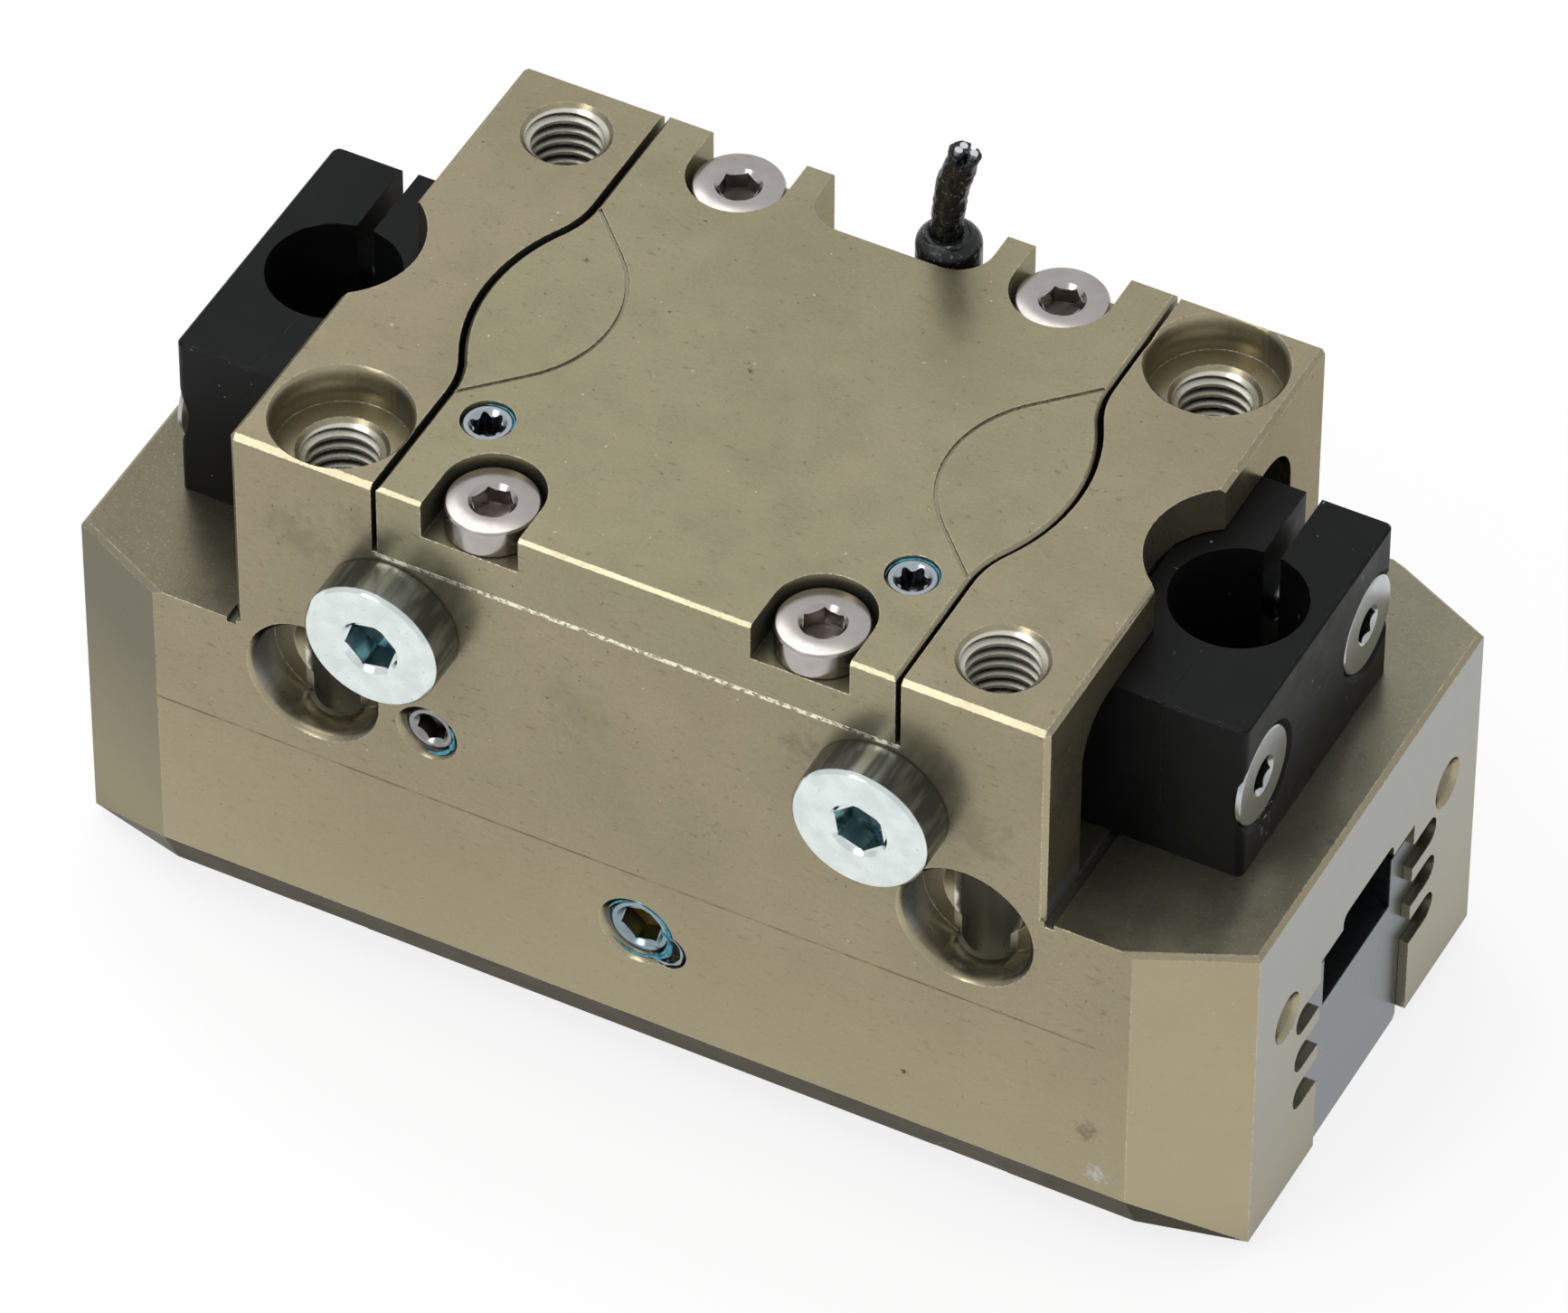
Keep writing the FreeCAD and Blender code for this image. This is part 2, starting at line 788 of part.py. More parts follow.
def make_front_set_screw():
    face = vec(-air_x, front_screw_sink - half_width, air_cross_height)
    inner = face + BACK * set_screw_length
    socket = hex_socket(set_screw_socket, (face + inner) * 0.5, face - BACK * past)
    return set_screw(set_screw_hole - thread_fit, inner, face, socket)


def make_centre_plug():
    face = vec(0, front_screw_sink - half_width, centre_height)
    inner = face + BACK * centre_screw_length
    socket = hex_socket(small_socket, (face + inner) * 0.5, face - BACK * past)
    return set_screw(centre_hole_radius - thread_fit, inner, face, socket)


def wedge_face(z):
    """Distance of the slanted wedge face from the middle at height z, with the jaws open."""
    return wedge_low_half + slope * (z - wedge_bottom)


def hook_profile(gap, root, z, rise):
    """Slanted T of the hook, from outside the wedge face inwards."""
    x = wedge_face(z)
    neck = hook_neck_half - gap
    head = hook_head_half - gap
    neck_x = x - hook_neck_depth - gap
    head_x = x - hook_depth + gap
    points = [vec(x + root, -neck, z), vec(x + root, neck, z), vec(neck_x, neck, z), vec(neck_x, head, z),
              vec(head_x, head, z), vec(head_x, -head, z), vec(neck_x, -head, z), vec(neck_x, -neck, z)]
    return prism(points, vec(slope * rise, 0, rise))


def make_wedge_hook():
    """Rod of the piston with the double wedge at its foot and a slanted T slot in each side."""
    w = wedge_half_width
    low_x = wedge_face(wedge_bottom)
    high_x = wedge_face(wedge_top)
    outline = [vec(-low_x, -w, wedge_bottom), vec(low_x, -w, wedge_bottom), vec(high_x, -w, wedge_top),
               vec(-high_x, -w, wedge_top)]
    wedge = prism(outline, vec(0, 2.0 * w, 0))
    stem = rod(rod_radius, vec(0, 0, wedge_top - past), vec(0, 0, piston_low))
    slot = hook_profile(0.0, past, wedge_bottom - past, wedge_height + 2.0 * past)
    thread_low = piston_low + piston_height - piston_screw_sink - piston_screw_length - hole_spare
    thread = rod(piston_screw_radius, vec(0, 0, thread_low), vec(0, 0, piston_low + past))
    return without(joined([wedge, stem]), [slot, mirror_x(slot), thread])


def jaw_teeth():
    teeth = []
    for index in range(groove_count):
        z = groove_low + groove_pitch * index
        for sign in (1, -1):
            tip = sign * (tooth_reach - tooth_half)
            teeth.append(block(0, jaw_end, 0, tip, z - tooth_half, z + tooth_half))
            teeth.append(rod(tooth_half, vec(0, tip, z), vec(jaw_end, tip, z)))
    return teeth


def jaw_inner_cuts():
    """What the wedge needs: the slanted face across the jaw, and the room under the wedge."""
    low = -jaw_drop - past
    high = jaw_top + past
    near_side = -half_length
    slant = prism([vec(near_side, -body_width, low), vec(wedge_face(low) + hook_fit, -body_width, low),
                   vec(wedge_face(high) + hook_fit, -body_width, high), vec(near_side, -body_width, high)],
                  vec(0, 2.0 * body_width, 0))
    floor = wedge_bottom - jaw_roof_gap
    under = block(near_side, wedge_face(wedge_bottom) + hook_fit, -body_width, body_width, low, floor)
    return [slant, under]


def finger_hole_cuts():
    """Two threads for the finger, each with a centring seat."""
    cuts = []
    low = -jaw_drop
    bevel = finger_seat_bevel
    for step in range(2):
        x = jaw_end - finger_hole_inset - finger_hole_pitch * step
        cuts.append(rod(finger_hole_radius, vec(x, 0, low - past), vec(x, 0, low + finger_hole_depth)))
        cuts.append(rod(finger_seat_radius, vec(x, 0, low - past), vec(x, 0, low + finger_seat_depth)))
        cuts.append(cone(finger_seat_radius + 2 * bevel, finger_seat_radius, vec(x, 0, low - bevel),
                         vec(x, 0, low + bevel)))
    return cuts


def make_right_jaw():
    """Base jaw with its guide teeth, the T hook that runs in the wedge and the finger holes."""
    solid = joined([block(0, jaw_end, -jaw_half, jaw_half, -jaw_drop, jaw_top)] + jaw_teeth())
    solid = solid.makeChamfer(edge_bevel, edges_along_x(solid, -jaw_drop))
    solid = without(solid, jaw_inner_cuts())
    foot = wedge_bottom + hook_start
    solid = joined([solid, hook_profile(hook_fit, hook_root, foot, jaw_top - foot)])
    channel = block(jaw_end - channel_length, jaw_end + past, -channel_half, channel_half, channel_floor,
                    jaw_top + past)
    return without(solid, [channel] + finger_hole_cuts())


def piston_seal_low():
    return piston_low + (piston_height - piston_seal_width) / 2.0


def magnet_place(z):
    return vec(switch_x, bore_radius - magnet_inset, z)


def make_piston():
    high = piston_low + piston_height
    solid = oval(bore_radius - piston_fit, bore_offset, piston_low, high)
    solid = solid.makeChamfer(piston_bevel, level_edges(solid))
    seal_low = piston_seal_low()
    cuts = [oval_ring(bore_radius, bore_radius - piston_seal_depth, seal_low, seal_low + piston_seal_width)]
    cuts.append(rod(piston_screw_seat, vec(0, 0, high - piston_screw_sink), vec(0, 0, high + past)))
    cuts.append(rod(piston_screw_clearance, vec(0, 0, piston_low - past), vec(0, 0, high)))
    cuts.append(rod(magnet_radius, magnet_place(piston_low - past), magnet_place(piston_low + magnet_length)))
    return without(solid, cuts)


def make_piston_seal():
    low = piston_seal_low() + seal_side_gap
    high = low + piston_seal_width - 2.0 * seal_side_gap
    ring = oval(bore_radius - seal_fit, bore_offset, low, high)
    ring = ring.makeChamfer(seal_bevel, level_edges(ring))
    return ring.cut(oval(bore_radius - piston_seal_depth, bore_offset, low - past, high + past))


def make_piston_magnet():
    return rod(magnet_radius, magnet_place(piston_low), magnet_place(piston_low + magnet_length))


def make_piston_screw():
    seat = vec(0, 0, piston_low + piston_height - piston_screw_sink)
    shank_radius = piston_screw_radius - thread_fit
    return low_head_screw(seat, UP, piston_screw_head, piston_screw_head_height, shank_radius,
                          piston_screw_length, piston_screw_socket, small_socket_depth)


def make_rod_seal():
    low = rod_seal_low() + seal_side_gap
    high = low + rod_seal_width - 2.0 * seal_side_gap
    ring = rod(rod_radius + rod_seal_depth, vec(0, 0, low), vec(0, 0, high))
    return ring.cut(rod(rod_radius + seal_fit, vec(0, 0, low - past), vec(0, 0, high + past)))


def bracket_blank():
    """Whole bracket on the right side, before it is parted at the seam."""
    solid = block(pocket_floor, bracket_outer, -bracket_half, bracket_half, flange_height, bracket_top)
    rounded = [edge for edge in upright_edges(solid) if near(ends(edge)[0].x, bracket_outer)]
    solid = solid.makeFillet(bracket_round, rounded)
    low = flange_height - past
    high = bracket_top + past
    cuts = [rod(sensor_radius, vec(seam_x, 0, low), vec(seam_x, 0, high))]
    for y in (-bracket_screw_y, bracket_screw_y):
        face = vec(bracket_outer, y, bracket_screw_z)
        neck = face - ALONG * (bracket_sink_radius - bracket_hole_radius)
        cuts.append(rod(bracket_hole_radius, vec(pocket_floor - past, y, bracket_screw_z), face))
        cuts.append(cone(bracket_hole_radius, bracket_sink_radius + past, neck, face + ALONG * past))
    cuts.append(block(seam_x - slit_inner, seam_x + slit_outer, 0, bracket_half + past, low, high))
    return without(solid, cuts)


def bracket_part(x0, x1):
    """What lies between two cross planes of the bracket."""
    return bracket_blank().common(block(x0, x1, -body_width, body_width, 0, body_height))


def make_bracket_outer():
    solid = bracket_part(seam_x, bracket_outer + past)
    round_start = bracket_outer - bracket_round
    outer_rim = []
    for edge in edges_at_height(solid, bracket_top):
        nearest = min(point.x for point in ends(edge))
        if nearest > round_start or near(nearest, round_start):
            outer_rim.append(edge)
    return solid.makeChamfer(bracket_bevel, outer_rim)


def make_bracket_inner():
    return bracket_part(pocket_floor - past, seam_x)


def make_bracket_screws():
    """Two countersunk screws through both halves of the bracket, thinner where they sit in the housing."""
    screws = []
    for y in (-bracket_screw_y, bracket_screw_y):
        top = vec(bracket_outer - bracket_head_sink, y, bracket_screw_z)
        rim = top - ALONG * bracket_head_rim
        neck = rim - ALONG * (bracket_head_radius - bracket_screw_radius)
        wall = vec(pocket_floor, y, bracket_screw_z)
        tip = wall - ALONG * bracket_screw_reach
        head = cone(bracket_screw_radius, bracket_head_radius, neck, rim)
        shank = rod(bracket_screw_radius, wall, neck)
        thread = rod(bracket_thread_radius - thread_fit, tip, wall)
        solid = joined([rod(bracket_head_radius, rim, top), head, shank, thread])
        socket = hex_socket(small_socket, top - ALONG * small_socket_depth, top + ALONG * past)
        screws.append(solid.cut(socket))
    return Part.makeCompound(screws)


def make_switch():
    """Round switch body with a rounded crown and a hole where the cable leaves."""
    top = vec(switch_x, slot_y, switch_top)
    body = rod(switch_radius, vec(switch_x, slot_y, switch_low), top)
    body = body.makeFillet(switch_round, edges_at_height(body, switch_top))
    foot = cable_path()[0]
    return body.cut(rod(cable_radius + cable_fit, foot, foot + UP * (cable_root + past)))


def cable_path():
    """Middle line of the stub, from its root in the switch to the cut: upright at first, then leaning."""
    foot = vec(switch_x - cable_offset, slot_y, switch_top - cable_root)
    first = foot + UP * cable_first_run
    second = first + UP * cable_bend_step + ALONG * cable_lean
    third = second + UP * cable_last_run + ALONG * (2.0 * cable_lean)
    return [foot, first, second, third]


def make_cable():
    """Cut-off stub of the cable with a ragged end."""
    path = cable_path()
    pieces = []
    for start, end in zip(path, path[1:]):
        pieces.append(rod(cable_radius, start, end))
    for bend in path[1:-1]:
        pieces.append(Part.makeSphere(cable_radius, bend))
    r = cable_radius
    tip = path[-1] - BACK * (2.0 * r)
    across = BACK * (4.0 * r)
    # The corners of the two tears are counted from the tip, in radii of the cable.
    notch = [vec(-0.15, 0, 0.6), vec(0.5, 0, 0.6), vec(0.1, 0, -1.2)]
    slant = [vec(-1.7, 0, 1), vec(0, 0, 1), vec(-1.7, 0, -0.2)]
    cuts = [prism([tip + corner * r for corner in corners], across) for corners in (notch, slant)]
    return without(joined(pieces), cuts)


def make_cores():
    """Bare ends of the three cores, which stand out of the cut end of the cable."""
    path = cable_path()
    lean = path[-1] - path[-2]
    lean.normalize()
    cores = []
    for x, y, rise in ((-0.37, -0.32, 0.47), (-0.32, 0.37, 0.26), (0.53, 0.0, 0.32)):
        cut = path[-1] + vec(x, y, 0) * cable_radius
        cores.append(rod(core_radius, cut - lean * core_root, cut + lean * (rise * cable_radius)))
    return Part.makeCompound(cores)


def save(name, shape):
    shape = shape.copy()
    shape.translate(vec(0, frame_y, frame_z))
    shape.exportStep("parts/" + name + ".step")
    print(name, shape.isValid(), len(shape.Solids), round(shape.Volume, 2))


right_jaw = make_right_jaw()
outer_half = make_bracket_outer()
inner_half = make_bracket_inner()
clamp_screws = make_bracket_screws()
cores = make_cores()

save("housing", make_housing())
save("piston_cover", make_cover())
save("cover_seal", make_cover_seal())
save("cover_screws", make_cover_screws())
save("cover_set_screws", make_cover_set_screws())
save("air_plug_left", make_air_plug(-1))
save("air_plug_right", make_air_plug(1))
save("front_set_screw", make_front_set_screw())
save("centre_plug", make_centre_plug())
save("rod_seal", make_rod_seal())
save("base_jaw_right", right_jaw)
save("base_jaw_left", mirror_x(right_jaw))
save("piston", make_piston())
save("piston_seal", make_piston_seal())
save("piston_magnet", make_piston_magnet())
save("piston_screw", make_piston_screw())
save("wedge_hook", make_wedge_hook())
save("bracket_outer_right", outer_half)
save("bracket_inner_right", inner_half)
save("bracket_screws_right", clamp_screws)
save("bracket_outer_left", mirror_x(outer_half))
save("bracket_inner_left", mirror_x(inner_half))
save("bracket_screws_left", mirror_x(clamp_screws))
save("magnetic_switch", make_switch())
save("switch_cable", make_cable().cut(cores))
save("switch_cores", cores)
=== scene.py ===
import json
import math

import bmesh
import bpy
from mathutils import Matrix, Vector, noise


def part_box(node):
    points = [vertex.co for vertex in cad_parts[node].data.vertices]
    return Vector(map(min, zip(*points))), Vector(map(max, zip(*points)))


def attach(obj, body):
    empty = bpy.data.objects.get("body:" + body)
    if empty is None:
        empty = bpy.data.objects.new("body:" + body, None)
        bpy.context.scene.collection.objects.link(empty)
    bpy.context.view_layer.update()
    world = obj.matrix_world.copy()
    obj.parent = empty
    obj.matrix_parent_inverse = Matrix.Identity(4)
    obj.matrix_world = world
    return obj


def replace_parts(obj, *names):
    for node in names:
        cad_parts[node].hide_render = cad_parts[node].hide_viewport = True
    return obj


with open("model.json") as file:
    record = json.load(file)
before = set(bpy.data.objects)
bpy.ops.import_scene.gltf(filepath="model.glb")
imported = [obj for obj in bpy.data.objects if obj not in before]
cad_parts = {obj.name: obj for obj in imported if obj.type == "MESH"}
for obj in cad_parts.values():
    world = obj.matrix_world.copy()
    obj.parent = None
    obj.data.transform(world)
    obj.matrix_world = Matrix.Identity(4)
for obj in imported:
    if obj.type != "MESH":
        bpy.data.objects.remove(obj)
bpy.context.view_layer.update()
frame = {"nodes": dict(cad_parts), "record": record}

NODES = frame["nodes"]
MOUNTS = {mount["name"]: mount for mount in frame["record"]["mounts"]}
MM = 0.001
FRONT = (0.0, -1.0, 0.0)
UP = (0.0, 0.0, 1.0)

# Camera, from the photograph
CAMERA_PLACE = Vector((224.556, -431.803, 499.787)) * MM
CAMERA_AZIMUTH = 27.368
CAMERA_ELEVATION = 44.666
CAMERA_ROLL = 0.232
CAMERA_LENS = 274.8
CAMERA_SENSOR = 36.0
CAMERA_NEAR = 0.01
CAMERA_FAR = 20.0

# Light and floor, in metres and watts
WORLD_STRENGTH = 0.8
WORLD_COLOUR = (0.98, 0.99, 1.0)
LAMP_AIM = (0.0, 0.0, 0.02)
TOP_LAMP = {"place": (-0.35, 0.1, 0.9), "size": 0.8, "power": 3.7}
FRONT_LAMP = {"place": (-0.31, -0.67, 0.6), "size": 0.32, "power": 1.5}
FLOOR_HALF = 6.0
FLOOR_COLOUR = (0.92, 0.92, 0.915)
FLOOR_WHITE = 0.8

# Places on the housing, in millimetres from the middle of its underside. The painted light and
# shade of the lower body's end faces and flange end at the tone break, a millimetre above the flange.
TONE_BREAK = 24.0
FRONT_FACE = -17.5
COVER_TOP = 37.6
MILLED_LINE = {"height": 14.5, "end": 29.0}
# Place of the painted highlight under the cover's front edge.
SEAM_HIGHLIGHT = {"height": 32.45, "half_length": 16.5}
TOP_THREAD = {"x": 20.75, "y": 13.3, "radius": 2.42, "rim": 2.5}

# Fasteners, in millimetres, with the socket's width across flats or its lobes' middle radius
RING_STEPS = 96
SOCKET_SAG = 0.32
SOCKET_BACK = -4.0
HEXAGON_SIDES = 6
SOCKET_LOBES = 6
LOBE_STEPS = 72
LOBE_DEPTH = 0.15
LOBE_TURN = 1.3
DRILL_SHARE = 0.8
DRILL_POINT = 0.4
SIDE_SLACK = 0.02
MOUTH_BEVEL = 0.25
ABOVE_FACE = 0.5
SHARP_ANGLE = 24.0
TIP_BEVEL = 0.3
HEAD_FOOT = 0.1
EDGE_EASE = 0.03
FACE_EASE = 0.02
SET_RIM = 0.2
SET_RIM_DEEP = 0.22
PLUG = {"radius": 4.22, "shank": 2.07, "length": 5.0, "proud": 2.8, "socket": 2.9, "deep": 1.9,
        "mouth": 1.86, "bevel": 0.22, "rounding": 0.06}
COVER_SCREW = {"radius": 2.75, "shank": 1.22, "length": 7.0, "proud": 1.85, "socket": 2.2, "deep": 1.3,
               "mouth": 1.4, "bevel": 0.12, "rounding": 0.05}
CLAMP_SCREW = {"radius": 3.0, "shank": 1.5, "thread": 1.22, "socket": 2.0, "deep": 1.3, "mouth": 1.25,
               "tip": 0.2, "rim": 0.3, "rim_edge": 0.08, "face_edge": 0.1, "pitch": 0.5, "groove": 0.22}
RIDGE = ((1.0, 0.04), (0.0, 0.4), (0.0, 0.6), (1.0, 0.96))
COVER_SET = {"radius": 1.56, "length": 3.0, "lobes": 0.9, "deep": 1.3, "mouth": 1.12}
FRONT_SET = {"radius": 1.56, "length": 3.0, "socket": 1.7, "deep": 1.3, "mouth": 1.12}
CENTRE_PLUG = {"radius": 1.96, "length": 4.0, "socket": 2.3, "deep": 1.5, "mouth": 1.5}

# How far each socket is turned, in degrees
PLUG_TURNS = {"left": 12.0, "right": 40.0}
COVER_SCREW_TURN = 10.0
COVER_SCREW_STEP = 22.0
COVER_SET_TURNS = (8.0, 24.0)
FRONT_SET_TURN = 20.0
CENTRE_PLUG_TURN = 15.0
CLAMP_TURN = 15.0

# Bevels of the small holes in the front face, by the node that closes them, in millimetres
HOLE_BEVELS = {"front_set_screw": 1.95, "centre_plug": 2.4}
HOLE_BEVEL_DEEP = 0.6
CUT_PAST = 0.1

# Head bores underneath and slanted foot of the housing, in millimetres
HEAD_BORE = 3.6
HEAD_BORE_DEEP = 7.0
RING_HOLE = 2.4
RING_INTO_WALL = 0.05
RING_SHY = 0.02
RING_PAST = 1.0
FOOT_IN = 1.45
FOOT_HIGH = 2.95
WEDGE_HALF = 6.0
WEDGE_LOW = -1.0
WEDGE_HIGH = 8.0
WEDGE_OUT = 12.0

# Threads of the top holes: sizes in millimetres, profile in shares of the pitch
THREAD_PITCH = 0.8
THREAD_MAJOR = 2.5
THREAD_STEPS = 48
THREAD_DEPTH = 9.0
THREAD_ABOVE = 1.2
THREAD_INTO_BORE = 0.05
THREAD_CREST = (0.34, 0.46)
THREAD_END = 0.8

# Switch and its cable, in millimetres and degrees
SHEATH_CELL = 0.09
SHEATH_DENT = 0.18
SHEATH_WRINKLE = 0.9
SHEATH_RIPPLES = ((1.0, 0.7), (2.7, 0.3))
TORN_LIP = {"radius": 1.3, "start": -70.0, "end": 250.0, "width": 0.7, "height": 0.6, "sink": 0.05}

# Threadlock: radius, first and last angle, width, height, and depth of the middle under the face
SMEAR_STEPS = 28
SMEAR_SIDES = 8
SMEAR_PLAIN = 0.65
SMEAR_RAGGED = 0.7
SMEAR_WAVES = 7.0
SMEAR_SPREAD = 3.0
SMEAR_THIN = 0.08
SIDE_HOLE = Vector((1.75, 0.0, -0.75))
BRIDGE_SHARE = 0.55
FRONT_LOCKS = {
    "front_set_screw_lock": (1.62, -95.0, 30.0, 0.62, 0.5, 0.2),
    "centre_plug_lock": (2.06, -140.0, 160.0, 0.42, 0.3, 0.2),
    "centre_plug_bridge": (1.2, -100.0, 60.0, 0.4, 0.45, 0.05),
    "centre_side_lip": (1.12, -150.0, 80.0, 0.34, 0.3, 0.12),
}
COVER_LOCKS = {
    "cover_lock_left": (1.52, 150.0, 300.0, 0.22, 0.2, 0.05),
    "cover_lock_right": (1.52, 170.0, 380.0, 0.22, 0.2, 0.05),
}

# Tones, in sRGB
TONES = {
    "body": (158, 149, 123), "body_dull": (150, 141, 116),
    "cover": (158, 151, 124), "cover_dull": (150, 144, 117),
    "grain": (120, 108, 86), "brushed": (178, 171, 146), "hair": (112, 96, 74),
    "pit": (92, 76, 54), "chip": (214, 204, 178),
    # Painted light and shade in the next two rows: a painted reflection on the end faces, painted light
    # on the right facets, painted shade on the left facets and flanges; the dust is real.
    "end_face_reflection": (182, 186, 189), "left_facet_shade": (112, 111, 104), "right_facet_light": (176, 166, 136),
    "left_flange_shade": (84, 82, 70), "right_flange_shade": (92, 106, 110), "dust": (190, 188, 176),
    # Foot tone: a painted highlight low on the body. Corner and underside tones: painted shade.
    "foot_highlight": (178, 168, 138), "corner_shade": (92, 94, 90), "underside": (15, 14, 9),
    "speck": (58, 46, 32), "grime": (106, 94, 80), "silver": (190, 190, 188),
    # Thread groove tone: painted shade in the grooves.
    "milled_line": (104, 92, 72), "thread_groove_shade": (52, 50, 40), "thread_land": (226, 223, 210),
    # Seam tone: a painted highlight. Pale edge tone: edge wear and a painted highlight.
    "seam_highlight": (250, 244, 226), "pale_edge_wear_and_highlight": (244, 236, 214),
    "jaw": (106, 112, 115), "jaw_line": (123, 129, 132),
    # Bracket edge tone: edge wear and a painted highlight.
    "bracket": (10, 11, 11), "bracket_dull": (16, 17, 17), "bracket_edge_wear_and_highlight": (100, 98, 94),
    "bracket_speck": (120, 120, 118), "bracket_scratch": (190, 188, 184),
    "scuff": (176, 180, 176), "lock": (12, 88, 108), "lock_pale": (66, 156, 176),
}

# Grain on the anodising: size in millimetres, detail, stretch, thresholds, share and tone
GRAINS = (
    (0.22, 3.0, (1.0, 1.0, 1.0), 0.35, 0.7, 0.22, "grain"),
    (0.16, 2.0, (0.12, 1.0, 1.0), 0.5, 0.75, 0.1, "brushed"),
    (0.3, 2.0, (0.4, 0.7, 1.2), 0.64, 0.72, 0.4, "hair"),
    (0.3, 0.0, (1.0, 1.0, 1.0), 0.85, 0.87, 0.7, "pit"),
    (0.35, 0.0, (1.0, 1.0, 1.3), 0.85, 0.87, 0.6, "chip"),
)

# Specks, smears and grime round the plugs: place on the housing, radius, strength and tone
MARKS = (
    ((17.07, FRONT_FACE, 6.77), 0.22, 0.9, "speck"),
    ((-10.6, FRONT_FACE, 29.3), 0.16, 0.9, "speck"),
    ((-14.7, 4.4, COVER_TOP), 0.2, 0.9, "speck"),
    ((-8.5, 2.8, COVER_TOP), 0.12, 0.9, "speck"),
    ((-2.2, 0.6, COVER_TOP), 0.2, 0.9, "speck"),
    ((28.6, FRONT_FACE, 7.6), 0.8, 0.6, "grime"),
    ((29.3, FRONT_FACE, 4.3), 0.7, 0.8, "silver"),
    ((10.7, FRONT_FACE, 29.5), 1.6, 0.35, "grime"),
    ((-17.0, FRONT_FACE, 34.0), 2.4, 0.3, "grime"),
    ((21.3, FRONT_FACE, 28.0), 2.4, 0.3, "grime"),
    ((-21.5, FRONT_FACE, 31.5), 2.2, 0.3, "grime"),
    ((-4.0, FRONT_FACE, 26.0), 3.0, 0.18, "grime"),
)
BRACKET_SCRATCH = (34.0, -6.6, 25.2)

# Metals of the small pieces: tone, roughness, painted shade of the socket and painted shade of the
# head's side
METALS = {
    "stainless": ((182, 176, 172), 0.2, (112, 104, 100), None),
    "zinc": ((226, 235, 232), 0.14, (84, 112, 118), (98, 102, 104)),
    "set_screw_steel": ((176, 184, 190), 0.2, (52, 50, 52), None),
    "dark_steel": ((150, 150, 148), 0.24, (72, 68, 64), None),
    "plated_steel": ((146, 164, 172), 0.24, (116, 98, 44), None),
    "clamp_steel": ((182, 186, 186), 0.22, (60, 60, 60), None),
    "piston_aluminium": ((190, 190, 188), 0.35, None, None),
    "core_copper": ((222, 226, 232), 0.35, None, None),
}

# Rubber and plastic: tone, roughness and strength of the scuffs
RUBBERS = {
    "switch_plastic": ((15, 16, 16), 0.24, 0.35),
    "cable_sheath": ((8, 8, 9), 0.3, 0.3),
    "seal_rubber": ((24, 24, 25), 0.5, 0.0),
}


def at(x, y, z):
    """Place in metres, from millimetres counted from the middle of the housing's underside."""
    low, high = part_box("housing")
    middle = Vector(((low.x + high.x) / 2.0, (low.y + high.y) / 2.0, low.z))
    return middle + Vector((x, y, z)) * MM


def srgb(red, green, blue):
    """Linear colour of an sRGB value from 0 to 255."""
    linear = []
    for value in (red, green, blue):
        share = value / 255.0
        linear.append(share / 12.92 if share <= 0.04045 else ((share + 0.055) / 1.055) ** 2.4)
    return (*linear, 1.0)


def tone(name):
    """Linear colour of a named tone."""
    return srgb(*TONES[name])


def scaled(colour, factor):
    """The colour made darker or lighter, at most white."""
    return tuple(min(1.0, value * factor) for value in colour[:3]) + (1.0,)


